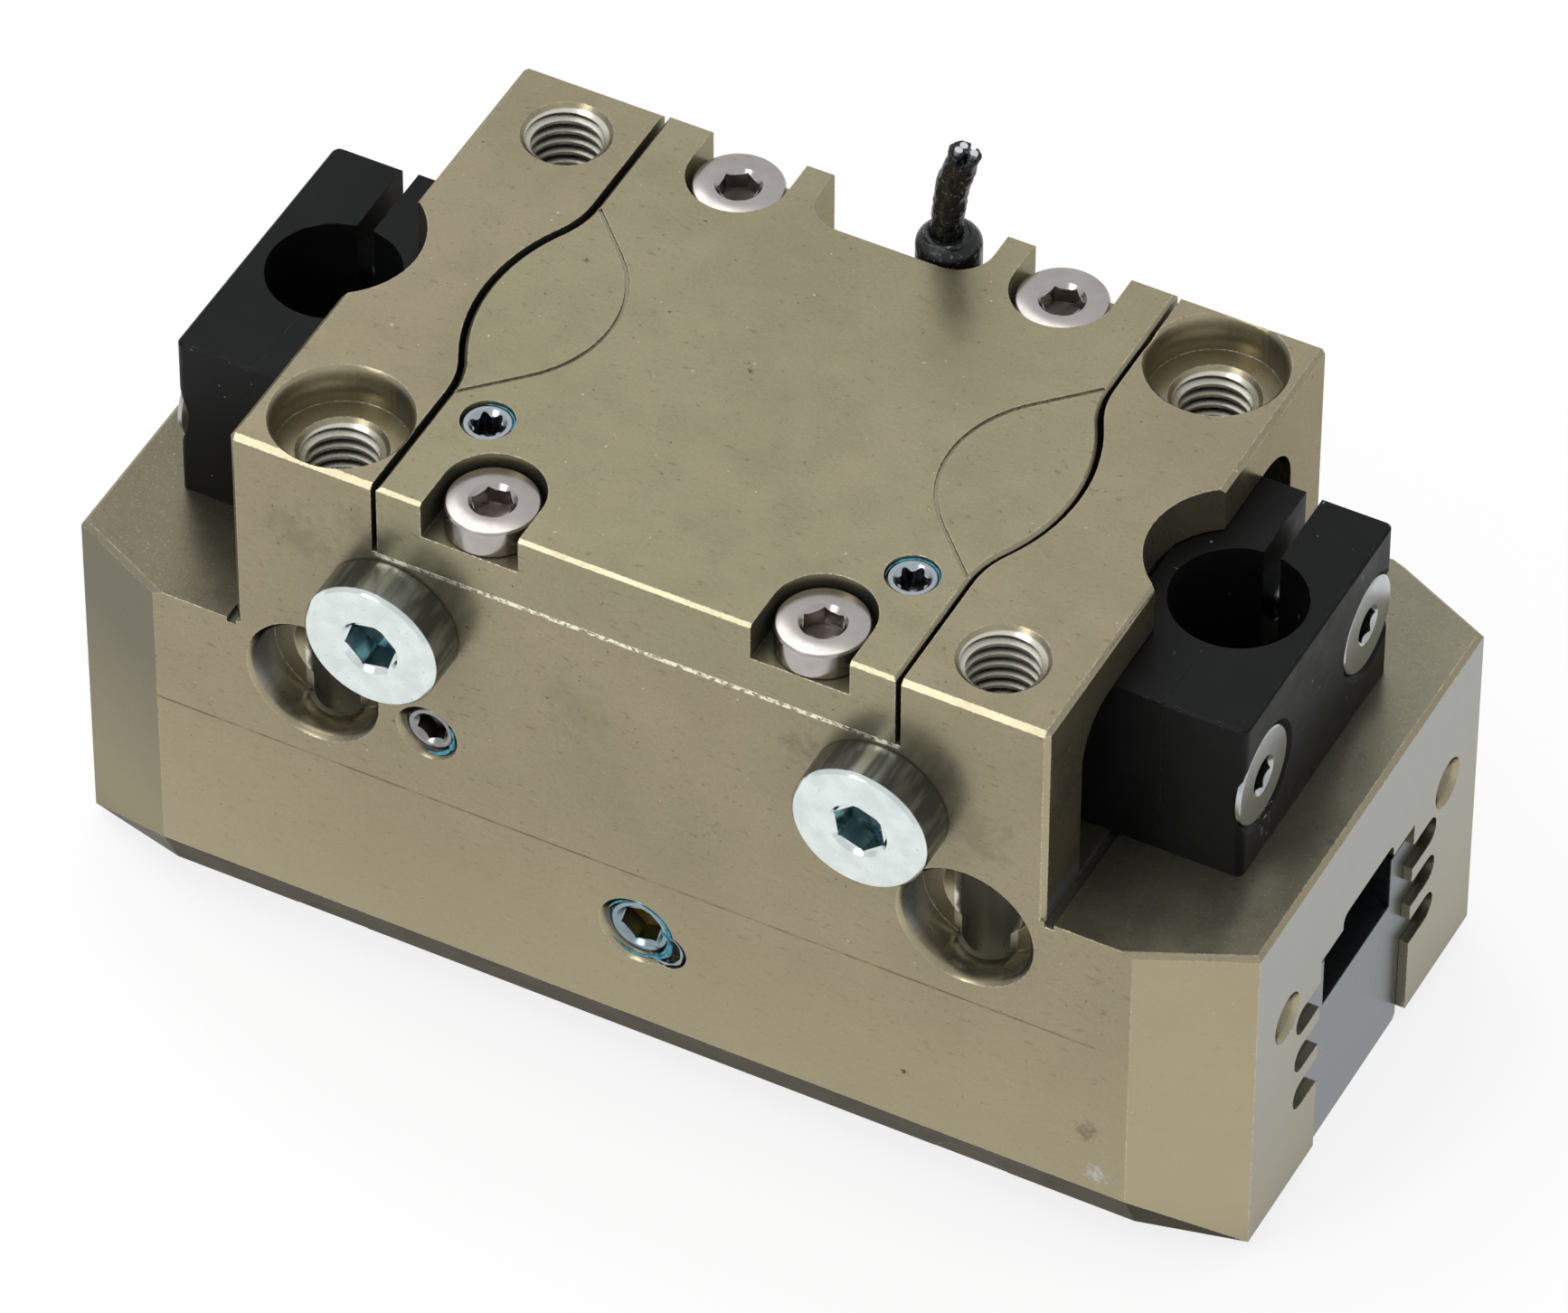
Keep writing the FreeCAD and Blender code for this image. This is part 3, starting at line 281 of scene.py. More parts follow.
class Shading:
    """A material with one shader, and short calls that add nodes to it."""

    def __init__(self, name, metallic, roughness, **fixed):
        self.material = bpy.data.materials.new(name)
        self.material.use_nodes = True
        self.tree = self.material.node_tree
        self.tree.nodes.clear()
        self.output = self.tree.nodes.new("ShaderNodeOutputMaterial")
        self.shader = self.tree.nodes.new("ShaderNodeBsdfPrincipled")
        self.shader.inputs["Metallic"].default_value = metallic
        self.shader.inputs["Roughness"].default_value = roughness
        for socket, value in fixed.items():
            self.shader.inputs[socket.replace("_", " ")].default_value = value
        self.tree.links.new(self.shader.outputs[0], self.output.inputs["Surface"])
        self.place = self.add("ShaderNodeTexCoord").outputs["Object"]
        self.normal = None

    def add(self, kind, **settings):
        """A new node with the given settings."""
        node = self.tree.nodes.new(kind)
        for name, value in settings.items():
            setattr(node, name, value)
        return node

    def feed(self, socket, value):
        """Sets a socket to a value, or links it to another socket."""
        if isinstance(value, bpy.types.NodeSocket):
            self.tree.links.new(value, socket)
        else:
            socket.default_value = value

    def stretched(self, x, y, z):
        """Place on the object, counted faster or slower along its axes."""
        node = self.add("ShaderNodeMapping")
        self.feed(node.inputs["Vector"], self.place)
        node.inputs["Scale"].default_value = (x, y, z)
        return node.outputs[0]

    def noise(self, size_mm, detail=3.0, place=None, roughness=0.55):
        """Soft noise from 0 to 1, with grains of about the given size."""
        node = self.add("ShaderNodeTexNoise")
        self.feed(node.inputs["Vector"], place or self.place)
        node.inputs["Scale"].default_value = 1.0 / (size_mm * MM)
        node.inputs["Detail"].default_value = detail
        node.inputs["Roughness"].default_value = roughness
        return node.outputs["Fac"]

    def range(self, value, low, high, to_low=0.0, to_high=1.0):
        """The value, stretched from one range to another and kept inside it."""
        node = self.add("ShaderNodeMapRange")
        numbers = {"From Min": low, "From Max": high, "To Min": to_low, "To Max": to_high}
        for name, number in numbers.items():
            node.inputs[name].default_value = number
        self.feed(node.inputs["Value"], value)
        return node.outputs[0]

    def math(self, operation, a, b=0.0):
        """Result of a sum on one or two values."""
        node = self.add("ShaderNodeMath", operation=operation)
        self.feed(node.inputs[0], a)
        self.feed(node.inputs[1], b)
        return node.outputs[0]

    def times(self, first, *others):
        """Product of shares."""
        for other in others:
            first = self.math("MULTIPLY", first, other)
        return first

    def unsigned(self, value):
        """The value without its sign."""
        return self.math("ABSOLUTE", value)

    def mix(self, share, first, second):
        """First colour where share is 0, second where it is 1."""
        node = self.add("ShaderNodeMix", data_type="RGBA")
        self.feed(node.inputs["Factor"], share)
        self.feed(node.inputs["A"], first)
        self.feed(node.inputs["B"], second)
        return node.outputs["Result"]

    def vector(self, operation, first, second=None):
        """Node of vector mathematics on one or two vectors."""
        node = self.add("ShaderNodeVectorMath", operation=operation)
        self.feed(node.inputs[0], first)
        if second is not None:
            self.feed(node.inputs[1], second)
        return node

    def rounded(self, radius_mm):
        """Surface direction with the edges rounded."""
        bevel = self.add("ShaderNodeBevel", samples=2)
        bevel.inputs["Radius"].default_value = radius_mm * MM
        return bevel.outputs[0]

    def edge(self, radius_mm):
        """1 on the edges of the shape and 0 away from them."""
        plain = self.add("ShaderNodeNewGeometry").outputs["Normal"]
        alike = self.vector("DOT_PRODUCT", self.rounded(radius_mm), plain).outputs["Value"]
        return self.range(self.math("SUBTRACT", 1.0, alike), 0.01, 0.12)

    def near(self, place, radius_mm, soft, wobble=None):
        """1 inside a ball round a place, 0 outside it, with a soft rim that noise makes uneven."""
        radius = radius_mm * MM
        reach = self.vector("DISTANCE", self.place, place).outputs["Value"]
        if wobble is not None:
            reach = self.math("ADD", reach, self.range(wobble, 0.2, 0.8, -radius, radius))
        return self.range(reach, radius * (1.0 - soft), radius, 1.0, 0.0)

    def axis(self, vector, axis):
        """One of the three parts of a vector."""
        parts = self.add("ShaderNodeSeparateXYZ")
        self.feed(parts.inputs[0], vector)
        return parts.outputs[axis]

    def facing(self, axis):
        """How much the surface faces along an axis, from -1 to 1."""
        return self.axis(self.add("ShaderNodeNewGeometry").outputs["True Normal"], axis)

    def zone(self, axis, start_mm, end_mm, first=0.0, last=1.0):
        """Share that changes between two places along an axis of the housing."""
        index = "XYZ".index(axis)
        start, end = (at(place, place, place)[index] for place in (start_mm, end_mm))
        return self.range(self.axis(self.place, axis), start, end, first, last)

    def band(self, axis, middle_mm, inner_mm, outer_mm):
        """1 near a place along an axis of the housing, 0 away from it."""
        index = "XYZ".index(axis)
        middle = at(middle_mm, middle_mm, middle_mm)[index]
        gap = self.unsigned(self.math("SUBTRACT", self.axis(self.place, axis), middle))
        return self.range(gap, inner_mm * MM, outer_mm * MM, 1.0, 0.0)

    def open_air(self, reach_mm, low, high):
        """0 deep in corners and holes, 1 on open surfaces."""
        node = self.add("ShaderNodeAmbientOcclusion", samples=2)
        node.inputs["Distance"].default_value = reach_mm * MM
        return self.range(node.outputs["AO"], low, high)

    def round_holes(self, x_mm, y_mm, radius_mm, rim_mm):
        """1 inside four upright cylinders that lie alike about the middle of the housing."""
        shift = self.vector("SUBTRACT", self.place, at(0.0, 0.0, 0.0)).outputs[0]
        folded = self.vector("ABSOLUTE", shift).outputs[0]
        flat = self.vector("MULTIPLY", folded, (1.0, 1.0, 0.0)).outputs[0]
        gap = self.vector("DISTANCE", flat, (x_mm * MM, y_mm * MM, 0.0)).outputs["Value"]
        return self.range(gap, radius_mm * MM, rim_mm * MM, 1.0, 0.0)

    def marked(self, name):
        """A value that the mesh carries at its points."""
        return self.add("ShaderNodeAttribute", attribute_name=name).outputs["Fac"]

    def soften(self, radius_mm):
        """Rounds the edges for the light."""
        self.normal = self.rounded(radius_mm)

    def bump(self, height, depth_mm, strength):
        """Roughens the surface for the light."""
        node = self.add("ShaderNodeBump")
        node.inputs["Strength"].default_value = strength
        node.inputs["Distance"].default_value = depth_mm * MM
        self.feed(node.inputs["Height"], height)
        if self.normal is not None:
            self.feed(node.inputs["Normal"], self.normal)
        self.normal = node.outputs[0]

    def finish(self, colour=None, roughness=None):
        """Links what is given to the shader, and returns the material."""
        ends = {"Base Color": colour, "Roughness": roughness, "Normal": self.normal}
        for socket, value in ends.items():
            if value is not None:
                self.feed(self.shader.inputs[socket], value)
        return self.material


def anodised_aluminium(name, plain, dull):
    """Hard anodised olive grey: milled grain, cloudy tone, specks, painted shade in corners, holes and
    thread grooves and on downward faces, a painted highlight under the cover's front edge, and pale
    edges that are partly edge wear and partly a painted highlight.
    """
    look = Shading(name, metallic=0.88, roughness=0.3, Specular_Tint=(0.6, 0.58, 0.5, 1.0))
    colour = look.mix(look.range(look.noise(11.0), 0.35, 0.65), plain, dull)
    for size, detail, stretch, low, high, share, shade in GRAINS:
        grain = look.noise(size, detail, look.stretched(*stretch))
        colour = look.mix(look.range(grain, low, high, 0.0, share), colour, tone(shade))
    colour = face_light_and_dust(look, colour)
    for place, radius, share, shade in MARKS:
        mark = look.near(at(*place), radius, 0.85, look.noise(radius * 0.45, 4.0))
        colour = look.mix(look.times(mark, share), colour, tone(shade))
    colour = look.mix(milled_line(look), colour, tone("milled_line"))
    colour = look.mix(look.open_air(5.0, 0.05, 0.6), tone("corner_shade"), colour)
    # Painted shade: faces that look downward turn nearly black.
    under = look.range(look.times(look.facing("Z"), -1.0), 0.2, 0.35)
    colour = look.mix(under, colour, tone("underside"))
    # Painted shade in the thread grooves, where the occlusion mask is low; the lands get a bright tone.
    lands = look.mix(look.open_air(0.9, 0.45, 0.85), tone("thread_groove_shade"), tone("thread_land"))
    thread = look.round_holes(*TOP_THREAD.values())
    colour = look.mix(look.times(thread, 0.9), colour, lands)
    colour = look.mix(seam_highlight(look), colour, tone("seam_highlight"))
    # Pale edges: partly edge wear, partly a painted highlight on the edges.
    edge_wear_and_highlight = look.times(look.edge(0.12), look.range(look.noise(0.2, 4.0), 0.44, 0.56, 0.1, 1.0),
                      look.range(look.noise(3.0, 2.0), 0.35, 0.6, 0.35, 1.0))
    colour = look.mix(edge_wear_and_highlight, colour, tone("pale_edge_wear_and_highlight"))
    look.soften(0.08)
    look.bump(look.noise(0.1), 0.01, 0.35)
    return look.finish(colour, look.range(look.noise(2.5), 0.3, 0.7, 0.25, 0.32))


def face_light_and_dust(look, colour):
    """The anodising's colour with painted light, shade and reflection on whole faces by the way they
    face, a painted highlight low on the body, and pale dust on the flange tops.
    """
    end = look.range(look.unsigned(look.facing("X")), 0.7, 0.98, 0.0, 0.9)
    below = look.zone("Z", TONE_BREAK - 0.2, TONE_BREAK + 0.6, 1.0, 0.0)
    slanted = look.range(look.unsigned(look.facing("Y")), 0.3, 0.6)
    left = look.range(look.facing("X"), -0.2, -0.45)
    right = look.range(look.facing("X"), 0.2, 0.45)
    flange = look.times(look.range(look.facing("Z"), 0.9, 0.99),
                        look.zone("Z", TONE_BREAK - 0.5, TONE_BREAK + 0.5, 0.55, 0.0))
    dust = look.range(look.noise(0.16, 2.0, roughness=0.7), 0.6, 0.72, 0.0, 0.7)
    tints = (
        # Painted reflection on the end faces, painted shade on the left facets and flanges, painted
        # light on the right facets.
        (look.times(end, below), "end_face_reflection"),
        (look.times(slanted, left, 0.85), "left_facet_shade"),
        (look.times(slanted, right, 0.7), "right_facet_light"),
        (look.times(flange, look.zone("X", -20.0, -24.0)), "left_flange_shade"),
        (look.times(flange, look.zone("X", 12.0, 20.0, 0.0, 0.45)), "right_flange_shade"),
        (look.times(flange, dust), "dust"),
        # Painted highlight, fading from the foot upwards.
        (look.zone("Z", 3.0, 18.0, 0.5, 0.0), "foot_highlight"),
    )
    for share, shade in tints:
        colour = look.mix(share, colour, tone(shade))
    return colour


def milled_line(look):
    """Share of the faint line that a cutter left along the front face."""
    end = MILLED_LINE["end"]
    front = look.range(look.times(look.facing("Y"), -1.0), 0.9, 0.99)
    return look.times(look.band("Z", MILLED_LINE["height"], 0.03, 0.11),
                      look.zone("X", end - 0.1, end + 0.1, 1.0, 0.0),
                      look.range(look.noise(1.4, 2.0), 0.3, 0.6, 0.2, 0.8), front)


def seam_highlight(look):
    """Share of the ragged painted highlight on the chamfer under the cover's front edge."""
    end = SEAM_HIGHLIGHT["half_length"]
    return look.times(look.band("Z", SEAM_HIGHLIGHT["height"], 0.1, 0.2),
                      look.zone("Y", FRONT_FACE + 0.3, FRONT_FACE + 0.1),
                      look.band("X", 0.0, end - 0.1, end + 0.1),
                      look.range(look.noise(0.25, 4.0), 0.42, 0.55))


def jaw_steel():
    """Ground steel with a bluish cast and fine lines across the end."""
    look = Shading("jaw_steel", metallic=1.0, roughness=0.3)
    lines = look.noise(0.2, 2.0, look.stretched(1.0, 8.0, 0.4))
    colour = look.mix(look.range(lines, 0.3, 0.7), tone("jaw"), tone("jaw_line"))
    look.soften(0.1)
    look.bump(lines, 0.008, 0.4)
    return look.finish(colour, look.range(lines, 0.3, 0.7, 0.26, 0.36))


def black_bracket():
    """Black anodised bracket with a few pale specks, a scratch, and pale edges that are partly light
    rubbing wear and partly a painted highlight.
    """
    look = Shading("black_bracket", metallic=0.0, roughness=0.42, Specular_IOR_Level=0.12)
    cloud = look.range(look.noise(4.0), 0.3, 0.7)
    colour = look.mix(cloud, tone("bracket"), tone("bracket_dull"))
    # Pale edges: partly rubbing wear, partly a painted highlight.
    rubbed_and_highlighted = look.times(look.edge(0.08), look.range(look.noise(0.5), 0.5, 0.66, 0.05, 0.8))
    colour = look.mix(rubbed_and_highlighted, colour, tone("bracket_edge_wear_and_highlight"))
    speck = look.range(look.noise(0.35, 0.0), 0.86, 0.88, 0.0, 0.7)
    colour = look.mix(speck, colour, tone("bracket_speck"))
    hairs = look.noise(0.2, 3.0, look.stretched(1.0, 0.6, 1.5))
    scratch = look.times(look.near(at(*BRACKET_SCRATCH), 1.6, 0.6), look.range(hairs, 0.62, 0.68))
    colour = look.mix(scratch, colour, tone("bracket_scratch"))
    look.soften(0.1)
    look.bump(look.noise(0.1), 0.01, 0.4)
    return look.finish(colour, look.range(look.noise(2.0), 0.3, 0.7, 0.36, 0.5))


def bright_metal(name):
    """Bright metal; the socket and the turned side, where the mesh marks them, get painted shade."""
    plain, roughness, inside, side = METALS[name]
    look = Shading(name, metallic=1.0, roughness=roughness)
    bright = srgb(*plain)
    cloud = look.noise(1.2)
    colour = look.mix(look.range(cloud, 0.35, 0.65), bright, scaled(bright, 0.88))
    spots = look.range(look.noise(0.25, 1.0), 0.74, 0.78, 0.0, 0.5)
    colour = look.mix(spots, colour, scaled(bright, 0.5))
    rough = look.range(cloud, 0.3, 0.7, roughness * 0.85, roughness * 1.2)
    if side is not None:
        # Painted shade on the head's turned side, broken up by streaks.
        streaks = look.noise(0.9, 2.0, look.stretched(1.0, 0.15, 1.0))
        streaks = look.range(streaks, 0.42, 0.6, 1.0, 0.7)
        colour = look.mix(look.times(look.marked("side"), streaks), colour, srgb(*side))
        rough = look.math("MAXIMUM", rough, look.times(look.marked("side"), 0.34))
    if inside is not None:
        # Painted shade in the socket, made uneven by noise.
        socket_shade_share = look.range(look.noise(0.9, 2.0), 0.3, 0.5, 0.7, 1.0)
        colour = look.mix(look.times(look.marked("socket"), socket_shade_share), colour, srgb(*inside))
    look.soften(0.06)
    look.bump(look.noise(0.3, 2.0), 0.003, 0.3)
    return look.finish(colour, rough)


def dark_rubber(name):
    """Black rubber or plastic with a faint cloudy tone, wrinkles and pale scuffs."""
    plain, roughness, scuffs = RUBBERS[name]
    look = Shading(name, metallic=0.0, roughness=roughness, Specular_IOR_Level=0.35)
    dark = srgb(*plain)
    colour = look.mix(look.range(look.noise(0.6), 0.4, 0.75), dark, scaled(dark, 1.8))
    scuff = look.range(look.noise(0.28, 4.0, roughness=0.7), 0.6, 0.68, 0.0, scuffs)
    colour = look.mix(scuff, colour, tone("scuff"))
    look.bump(look.noise(0.35), 0.08, 0.7)
    return look.finish(colour)


def threadlock():
    """Cured blue threadlock, glassy and uneven."""
    look = Shading("threadlock", metallic=0.0, roughness=0.25)
    colour = look.mix(look.range(look.noise(0.4), 0.35, 0.65), tone("lock"), tone("lock_pale"))
    look.bump(look.noise(0.2), 0.05, 0.6)
    return look.finish(colour)


def paint(node, material):
    """Gives a CAD node its material."""
    mesh = NODES[node].data
    mesh.materials.clear()
    mesh.materials.append(material)


def add_piece(name, mesh, material):
    """A new object of the part, which rides on the housing."""
    piece = bpy.data.objects.new(name, mesh)
    bpy.context.scene.collection.objects.link(piece)
    mesh.materials.clear()
    mesh.materials.append(material)
    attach(piece, "housing")
    return piece


def stand_in(name, node, mesh, material):
    """A detailed piece that stands for a CAD node."""
    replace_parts(add_piece(name, mesh, material), node)


def mesh_of(bm, name):
    """Mesh of a finished shape, with its faces turned outward."""
    bmesh.ops.recalc_face_normals(bm, faces=bm.faces)
    mesh = bpy.data.meshes.new(name)
    bm.to_mesh(mesh)
    bm.free()
    return mesh


def thread_cutter(place, top):
    """Solid helix that cuts a thread from above the hole's mouth down to the thread's depth."""
    inner = (MOUNTS["top_threads"]["dims"]["hole_r_mm"] - THREAD_INTO_BORE) * MM
    outer = THREAD_MAJOR * MM
    pitch = THREAD_PITCH * MM
    profile = [(0.0, inner), *((share, outer) for share in THREAD_CREST), (THREAD_END, inner)]
    turns = math.ceil((THREAD_DEPTH + THREAD_ABOVE) / THREAD_PITCH)
    low = top + THREAD_ABOVE * MM - turns * pitch
    count = turns * THREAD_STEPS
    bm = bmesh.new()
    grid = []
    for step in range(count + 1):
        turn = 2.0 * math.pi * step / THREAD_STEPS
        row = []
        for share, radius in profile:
            row.append(bm.verts.new((place.x + radius * math.cos(turn),
                                     place.y + radius * math.sin(turn),
                                     low + pitch * (step / THREAD_STEPS + share))))
        grid.append(row)
    for step in range(count):
        first, second = grid[step], grid[step + 1]
        for index in range(len(profile) - 1):
            bm.faces.new((first[index], second[index], second[index + 1], first[index + 1]))
        after = step + THREAD_STEPS
        if after < count:
            bm.faces.new((first[-1], second[-1], grid[after + 1][0], grid[after][0]))
    bottom = bm.verts.new((place.x, place.y, low - pitch))
    ring = [row[0] for row in grid[:THREAD_STEPS + 1]] + grid[0][:0:-1]
    close_with_fan(bm, ring, bottom)
    high = bm.verts.new((place.x, place.y, low + pitch * (turns + 2)))
    ring = [row[-1] for row in grid[count - THREAD_STEPS:]] + grid[count][-2::-1]
    close_with_fan(bm, ring, high)
    return mesh_of(bm, "thread_cutter")


def close_with_fan(bm, ring, middle):
    """Closes a ring of points with triangles that meet at one point."""
    for index, vertex in enumerate(ring):
        bm.faces.new((vertex, ring[(index + 1) % len(ring)], middle))


def carve(mesh, cutters, operation="DIFFERENCE"):
    """The mesh with other meshes taken away from it or joined to it."""
    work = bpy.data.objects.new("work", mesh)
    bpy.context.scene.collection.objects.link(work)
    for cutter_mesh in cutters:
        cutter = bpy.data.objects.new("cutter", cutter_mesh)
        bpy.context.scene.collection.objects.link(cutter)
        cut = work.modifiers.new("cut", "BOOLEAN")
        cut.operation = operation
        cut.solver = "EXACT"
        cut.object = cutter
        result = evaluated(work)
        work.modifiers.clear()
        work.data = result
        bpy.data.objects.remove(cutter)
    carved = work.data
    bpy.data.objects.remove(work)
    return carved


def evaluated(work):
    """New mesh of an object with its modifiers applied."""
    graph = bpy.context.evaluated_depsgraph_get()
    return bpy.data.meshes.new_from_object(work.evaluated_get(graph), depsgraph=graph)


def lathe(profile, steps=RING_STEPS, lobes=0.0, smooth=True):
    """Closed solid turned about Z from radii and heights in millimetres, from axis to axis."""
    bm = bmesh.new()
    rings = []
    for radius, height in profile:
        if radius == 0.0:
            rings.append([bm.verts.new((0.0, 0.0, height * MM))])
            continue
        ring = []
        for step in range(steps):
            turn = 2.0 * math.pi * step / steps
            reach = radius * (1.0 + lobes * math.cos(SOCKET_LOBES * turn)) * MM
            ring.append(bm.verts.new((reach * math.cos(turn), reach * math.sin(turn), height * MM)))
        rings.append(ring)
    for low, high in zip(rings, rings[1:]):
        for step in range(steps):
            after = (step + 1) % steps
            if len(low) == 1:
                bm.faces.new((low[0], high[after], high[step]))
            elif len(high) == 1:
                bm.faces.new((low[step], low[after], high[0]))
            else:
                bm.faces.new((low[step], low[after], high[after], high[step]))
    for face in bm.faces:
        face.smooth = smooth
    return mesh_of(bm, "turned")


def socket_cutters(flats, deep, mouth, lobed):
    """Cutters of a hexagon or lobed socket with a bevelled mouth, from the face at height 0 down."""
    radius = flats / math.sqrt(3.0)
    if lobed:
        walls = lathe([(0.0, -deep), (flats, -deep), (flats, ABOVE_FACE), (0.0, ABOVE_FACE)],
                      LOBE_STEPS, LOBE_DEPTH)
        walls.transform(Matrix.Rotation(math.radians(LOBE_TURN), 4, "Z"))
    else:
        walls = lathe([(0.0, -deep), (radius, -deep), (radius, ABOVE_FACE), (0.0, ABOVE_FACE)],
                      HEXAGON_SIDES, smooth=False)
    bore = radius * DRILL_SHARE
    drill = lathe([(0.0, -deep - DRILL_POINT), (bore, -deep), (bore, ABOVE_FACE), (0.0, ABOVE_FACE)])
    bevel = lathe([(0.0, -MOUTH_BEVEL), (mouth - MOUTH_BEVEL, -MOUTH_BEVEL),
                   (mouth + CUT_PAST, CUT_PAST), (0.0, CUT_PAST)])
    return [walls, drill, bevel]


def with_socket(profile, screw, side_radius, lobed=False):
    """Turned screw with its socket cut; marks the socket and the head's side for the material."""
    flats = screw["lobes"] if lobed else screw["socket"]
    mesh = carve(lathe(profile), socket_cutters(flats, screw["deep"], screw["mouth"], lobed))
    sockets = mesh.attributes.new("socket", "FLOAT", "POINT")
    sides = mesh.attributes.new("side", "FLOAT", "POINT")
    for vertex in mesh.vertices:
        reach = math.hypot(vertex.co.x, vertex.co.y)
        deep = SOCKET_BACK * MM < vertex.co.z < -SOCKET_SAG * MM
        sockets.data[vertex.index].value = float(deep and reach < screw["mouth"] * MM)
        sides.data[vertex.index].value = float(reach > (side_radius - SIDE_SLACK) * MM)
    mesh.set_sharp_from_angle(angle=math.radians(SHARP_ANGLE))
    return mesh


def screw_mesh(screw):
    """Screw with its face at height 0: shank, bevelled head, and bevelled hexagon socket."""
    radius, shank, under = screw["radius"], screw["shank"], -screw["proud"]
    bevel, rounding = screw["bevel"], screw["rounding"]
    low = under - screw["length"]
    profile = [(0.0, low), (shank - TIP_BEVEL, low), (shank, low + TIP_BEVEL), (shank, under),
               (radius - HEAD_FOOT, under), (radius, under + HEAD_FOOT),
               (radius, -bevel - rounding), (radius - EDGE_EASE, -bevel),
               (radius - bevel + FACE_EASE, -EDGE_EASE), (radius - bevel - rounding, 0.0),
               (0.0, 0.0)]
    return with_socket(profile, screw, radius)


def set_screw_mesh(screw, lobed=False):
    """Set screw with its face at height 0 and a bevelled rim."""
    radius = screw["radius"]
    low = -screw["length"]
    profile = [(0.0, low), (radius - TIP_BEVEL, low), (radius, low + TIP_BEVEL),
               (radius, -SET_RIM_DEEP), (radius - SET_RIM, 0.0), (0.0, 0.0)]
    return with_socket(profile, screw, radius, lobed)


def clamp_screw_mesh(length, grip):
    """Countersunk screw with its face at height 0, ringed by its thread and thinner past the grip."""
    head, shank, thread = CLAMP_SCREW["radius"], CLAMP_SCREW["shank"], CLAMP_SCREW["thread"]
    tip, rim, pitch = CLAMP_SCREW["tip"], CLAMP_SCREW["rim"], CLAMP_SCREW["pitch"]
    profile = [(0.0, -length), (thread - tip, -length), (thread, -length + tip), (thread, -grip)]
    height = -grip
    neck = -rim - (head - shank)
    while height + pitch < neck - rim:
        for depth, share in RIDGE:
            profile.append((shank - depth * CLAMP_SCREW["groove"], height + share * pitch))
        height += pitch
    profile += [(shank, height + RIDGE[1][1] * pitch), (shank, neck), (head, -rim),
                (head, -CLAMP_SCREW["rim_edge"]), (head - CLAMP_SCREW["face_edge"], 0.0), (0.0, 0.0)]
    no_side = head + 1.0
    return with_socket(profile, CLAMP_SCREW, no_side)


def placed(mesh, seats):
    """One mesh of copies of another, each set on a place, along an axis and turned about it."""
    whole = bmesh.new()
    for place, axis, turn in seats:
        copy = mesh.copy()
        turned = Vector(axis).to_track_quat("Z", "Y").to_matrix().to_4x4()
        turned @= Matrix.Rotation(math.radians(turn), 4, "Z")
        copy.transform(Matrix.Translation(place) @ turned)
        whole.from_mesh(copy)
        bpy.data.meshes.remove(copy)
    joined = bpy.data.meshes.new("placed")
    whole.to_mesh(joined)
    whole.free()
    return joined


def box_middle(node):
    """Middle of a node's box."""
    low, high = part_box(node)
    return (low + high) / 2.0


def face_middle(node):
    """Middle of the front side of a node's box."""
    middle = box_middle(node)
    middle.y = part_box(node)[0].y
    return middle


def corner_heads(node, radius_mm):
    """Middles of the heads of four upright screws that share one node, from the node's box."""
    low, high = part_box(node)
    reach = radius_mm * MM
    return [Vector((x, y, high.z))
            for x in (low.x + reach, high.x - reach) for y in (low.y + reach, high.y - reach)]


def cover_set_heads():
    """Middles of the faces of the two lobed set screws in the cover."""
    low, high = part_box("cover_set_screws")
    reach = (high.y - low.y) / 2.0
    return [Vector((x, (low.y + high.y) / 2.0, high.z)) for x in (low.x + reach, high.x - reach)]


def make_fasteners(metals):
    """Plugs and screws with real sockets, in place of the plain ones."""
    plug = screw_mesh(PLUG)
    for side, turn in PLUG_TURNS.items():
        node = "air_plug_" + side
        mesh = placed(plug, [(face_middle(node), FRONT, turn)])
        stand_in(node + "_turned", node, mesh, metals["zinc"])
    seats = []
    for index, place in enumerate(corner_heads("cover_screws", COVER_SCREW["radius"])):
        seats.append((place, UP, COVER_SCREW_TURN + COVER_SCREW_STEP * index))
    mesh = placed(screw_mesh(COVER_SCREW), seats)
    stand_in("cover_screws_turned", "cover_screws", mesh, metals["stainless"])
    seats = [(place, UP, turn) for place, turn in zip(cover_set_heads(), COVER_SET_TURNS)]
    mesh = placed(set_screw_mesh(COVER_SET, lobed=True), seats)
    stand_in("cover_set_screws_lobed", "cover_set_screws", mesh,
             metals["set_screw_steel"])
    for node, sizes, metal, turn in (
            ("front_set_screw", FRONT_SET, "dark_steel", FRONT_SET_TURN),
            ("centre_plug", CENTRE_PLUG, "plated_steel", CENTRE_PLUG_TURN)):
        mesh = placed(set_screw_mesh(sizes), [(face_middle(node), FRONT, turn)])
        stand_in(node + "_turned", node, mesh, metals[metal])
    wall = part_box("bracket_inner_right")[0].x
    for side, sign in (("left", -1.0), ("right", 1.0)):
        node = "bracket_screws_" + side
        low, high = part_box(node)
        outer = high.x if sign > 0 else low.x
        height = (low.z + high.z) / 2.0
        rim = (high.z - low.z) / 2.0
        seats = [(Vector((outer, y, height)), (sign, 0.0, 0.0), CLAMP_TURN * y / MM)
                 for y in (low.y + rim, high.y - rim)]
        clamp = clamp_screw_mesh((high.x - low.x) / MM, (abs(outer) - wall) / MM)
        stand_in(node + "_threaded", node, placed(clamp, seats),
                 metals["clamp_steel"])


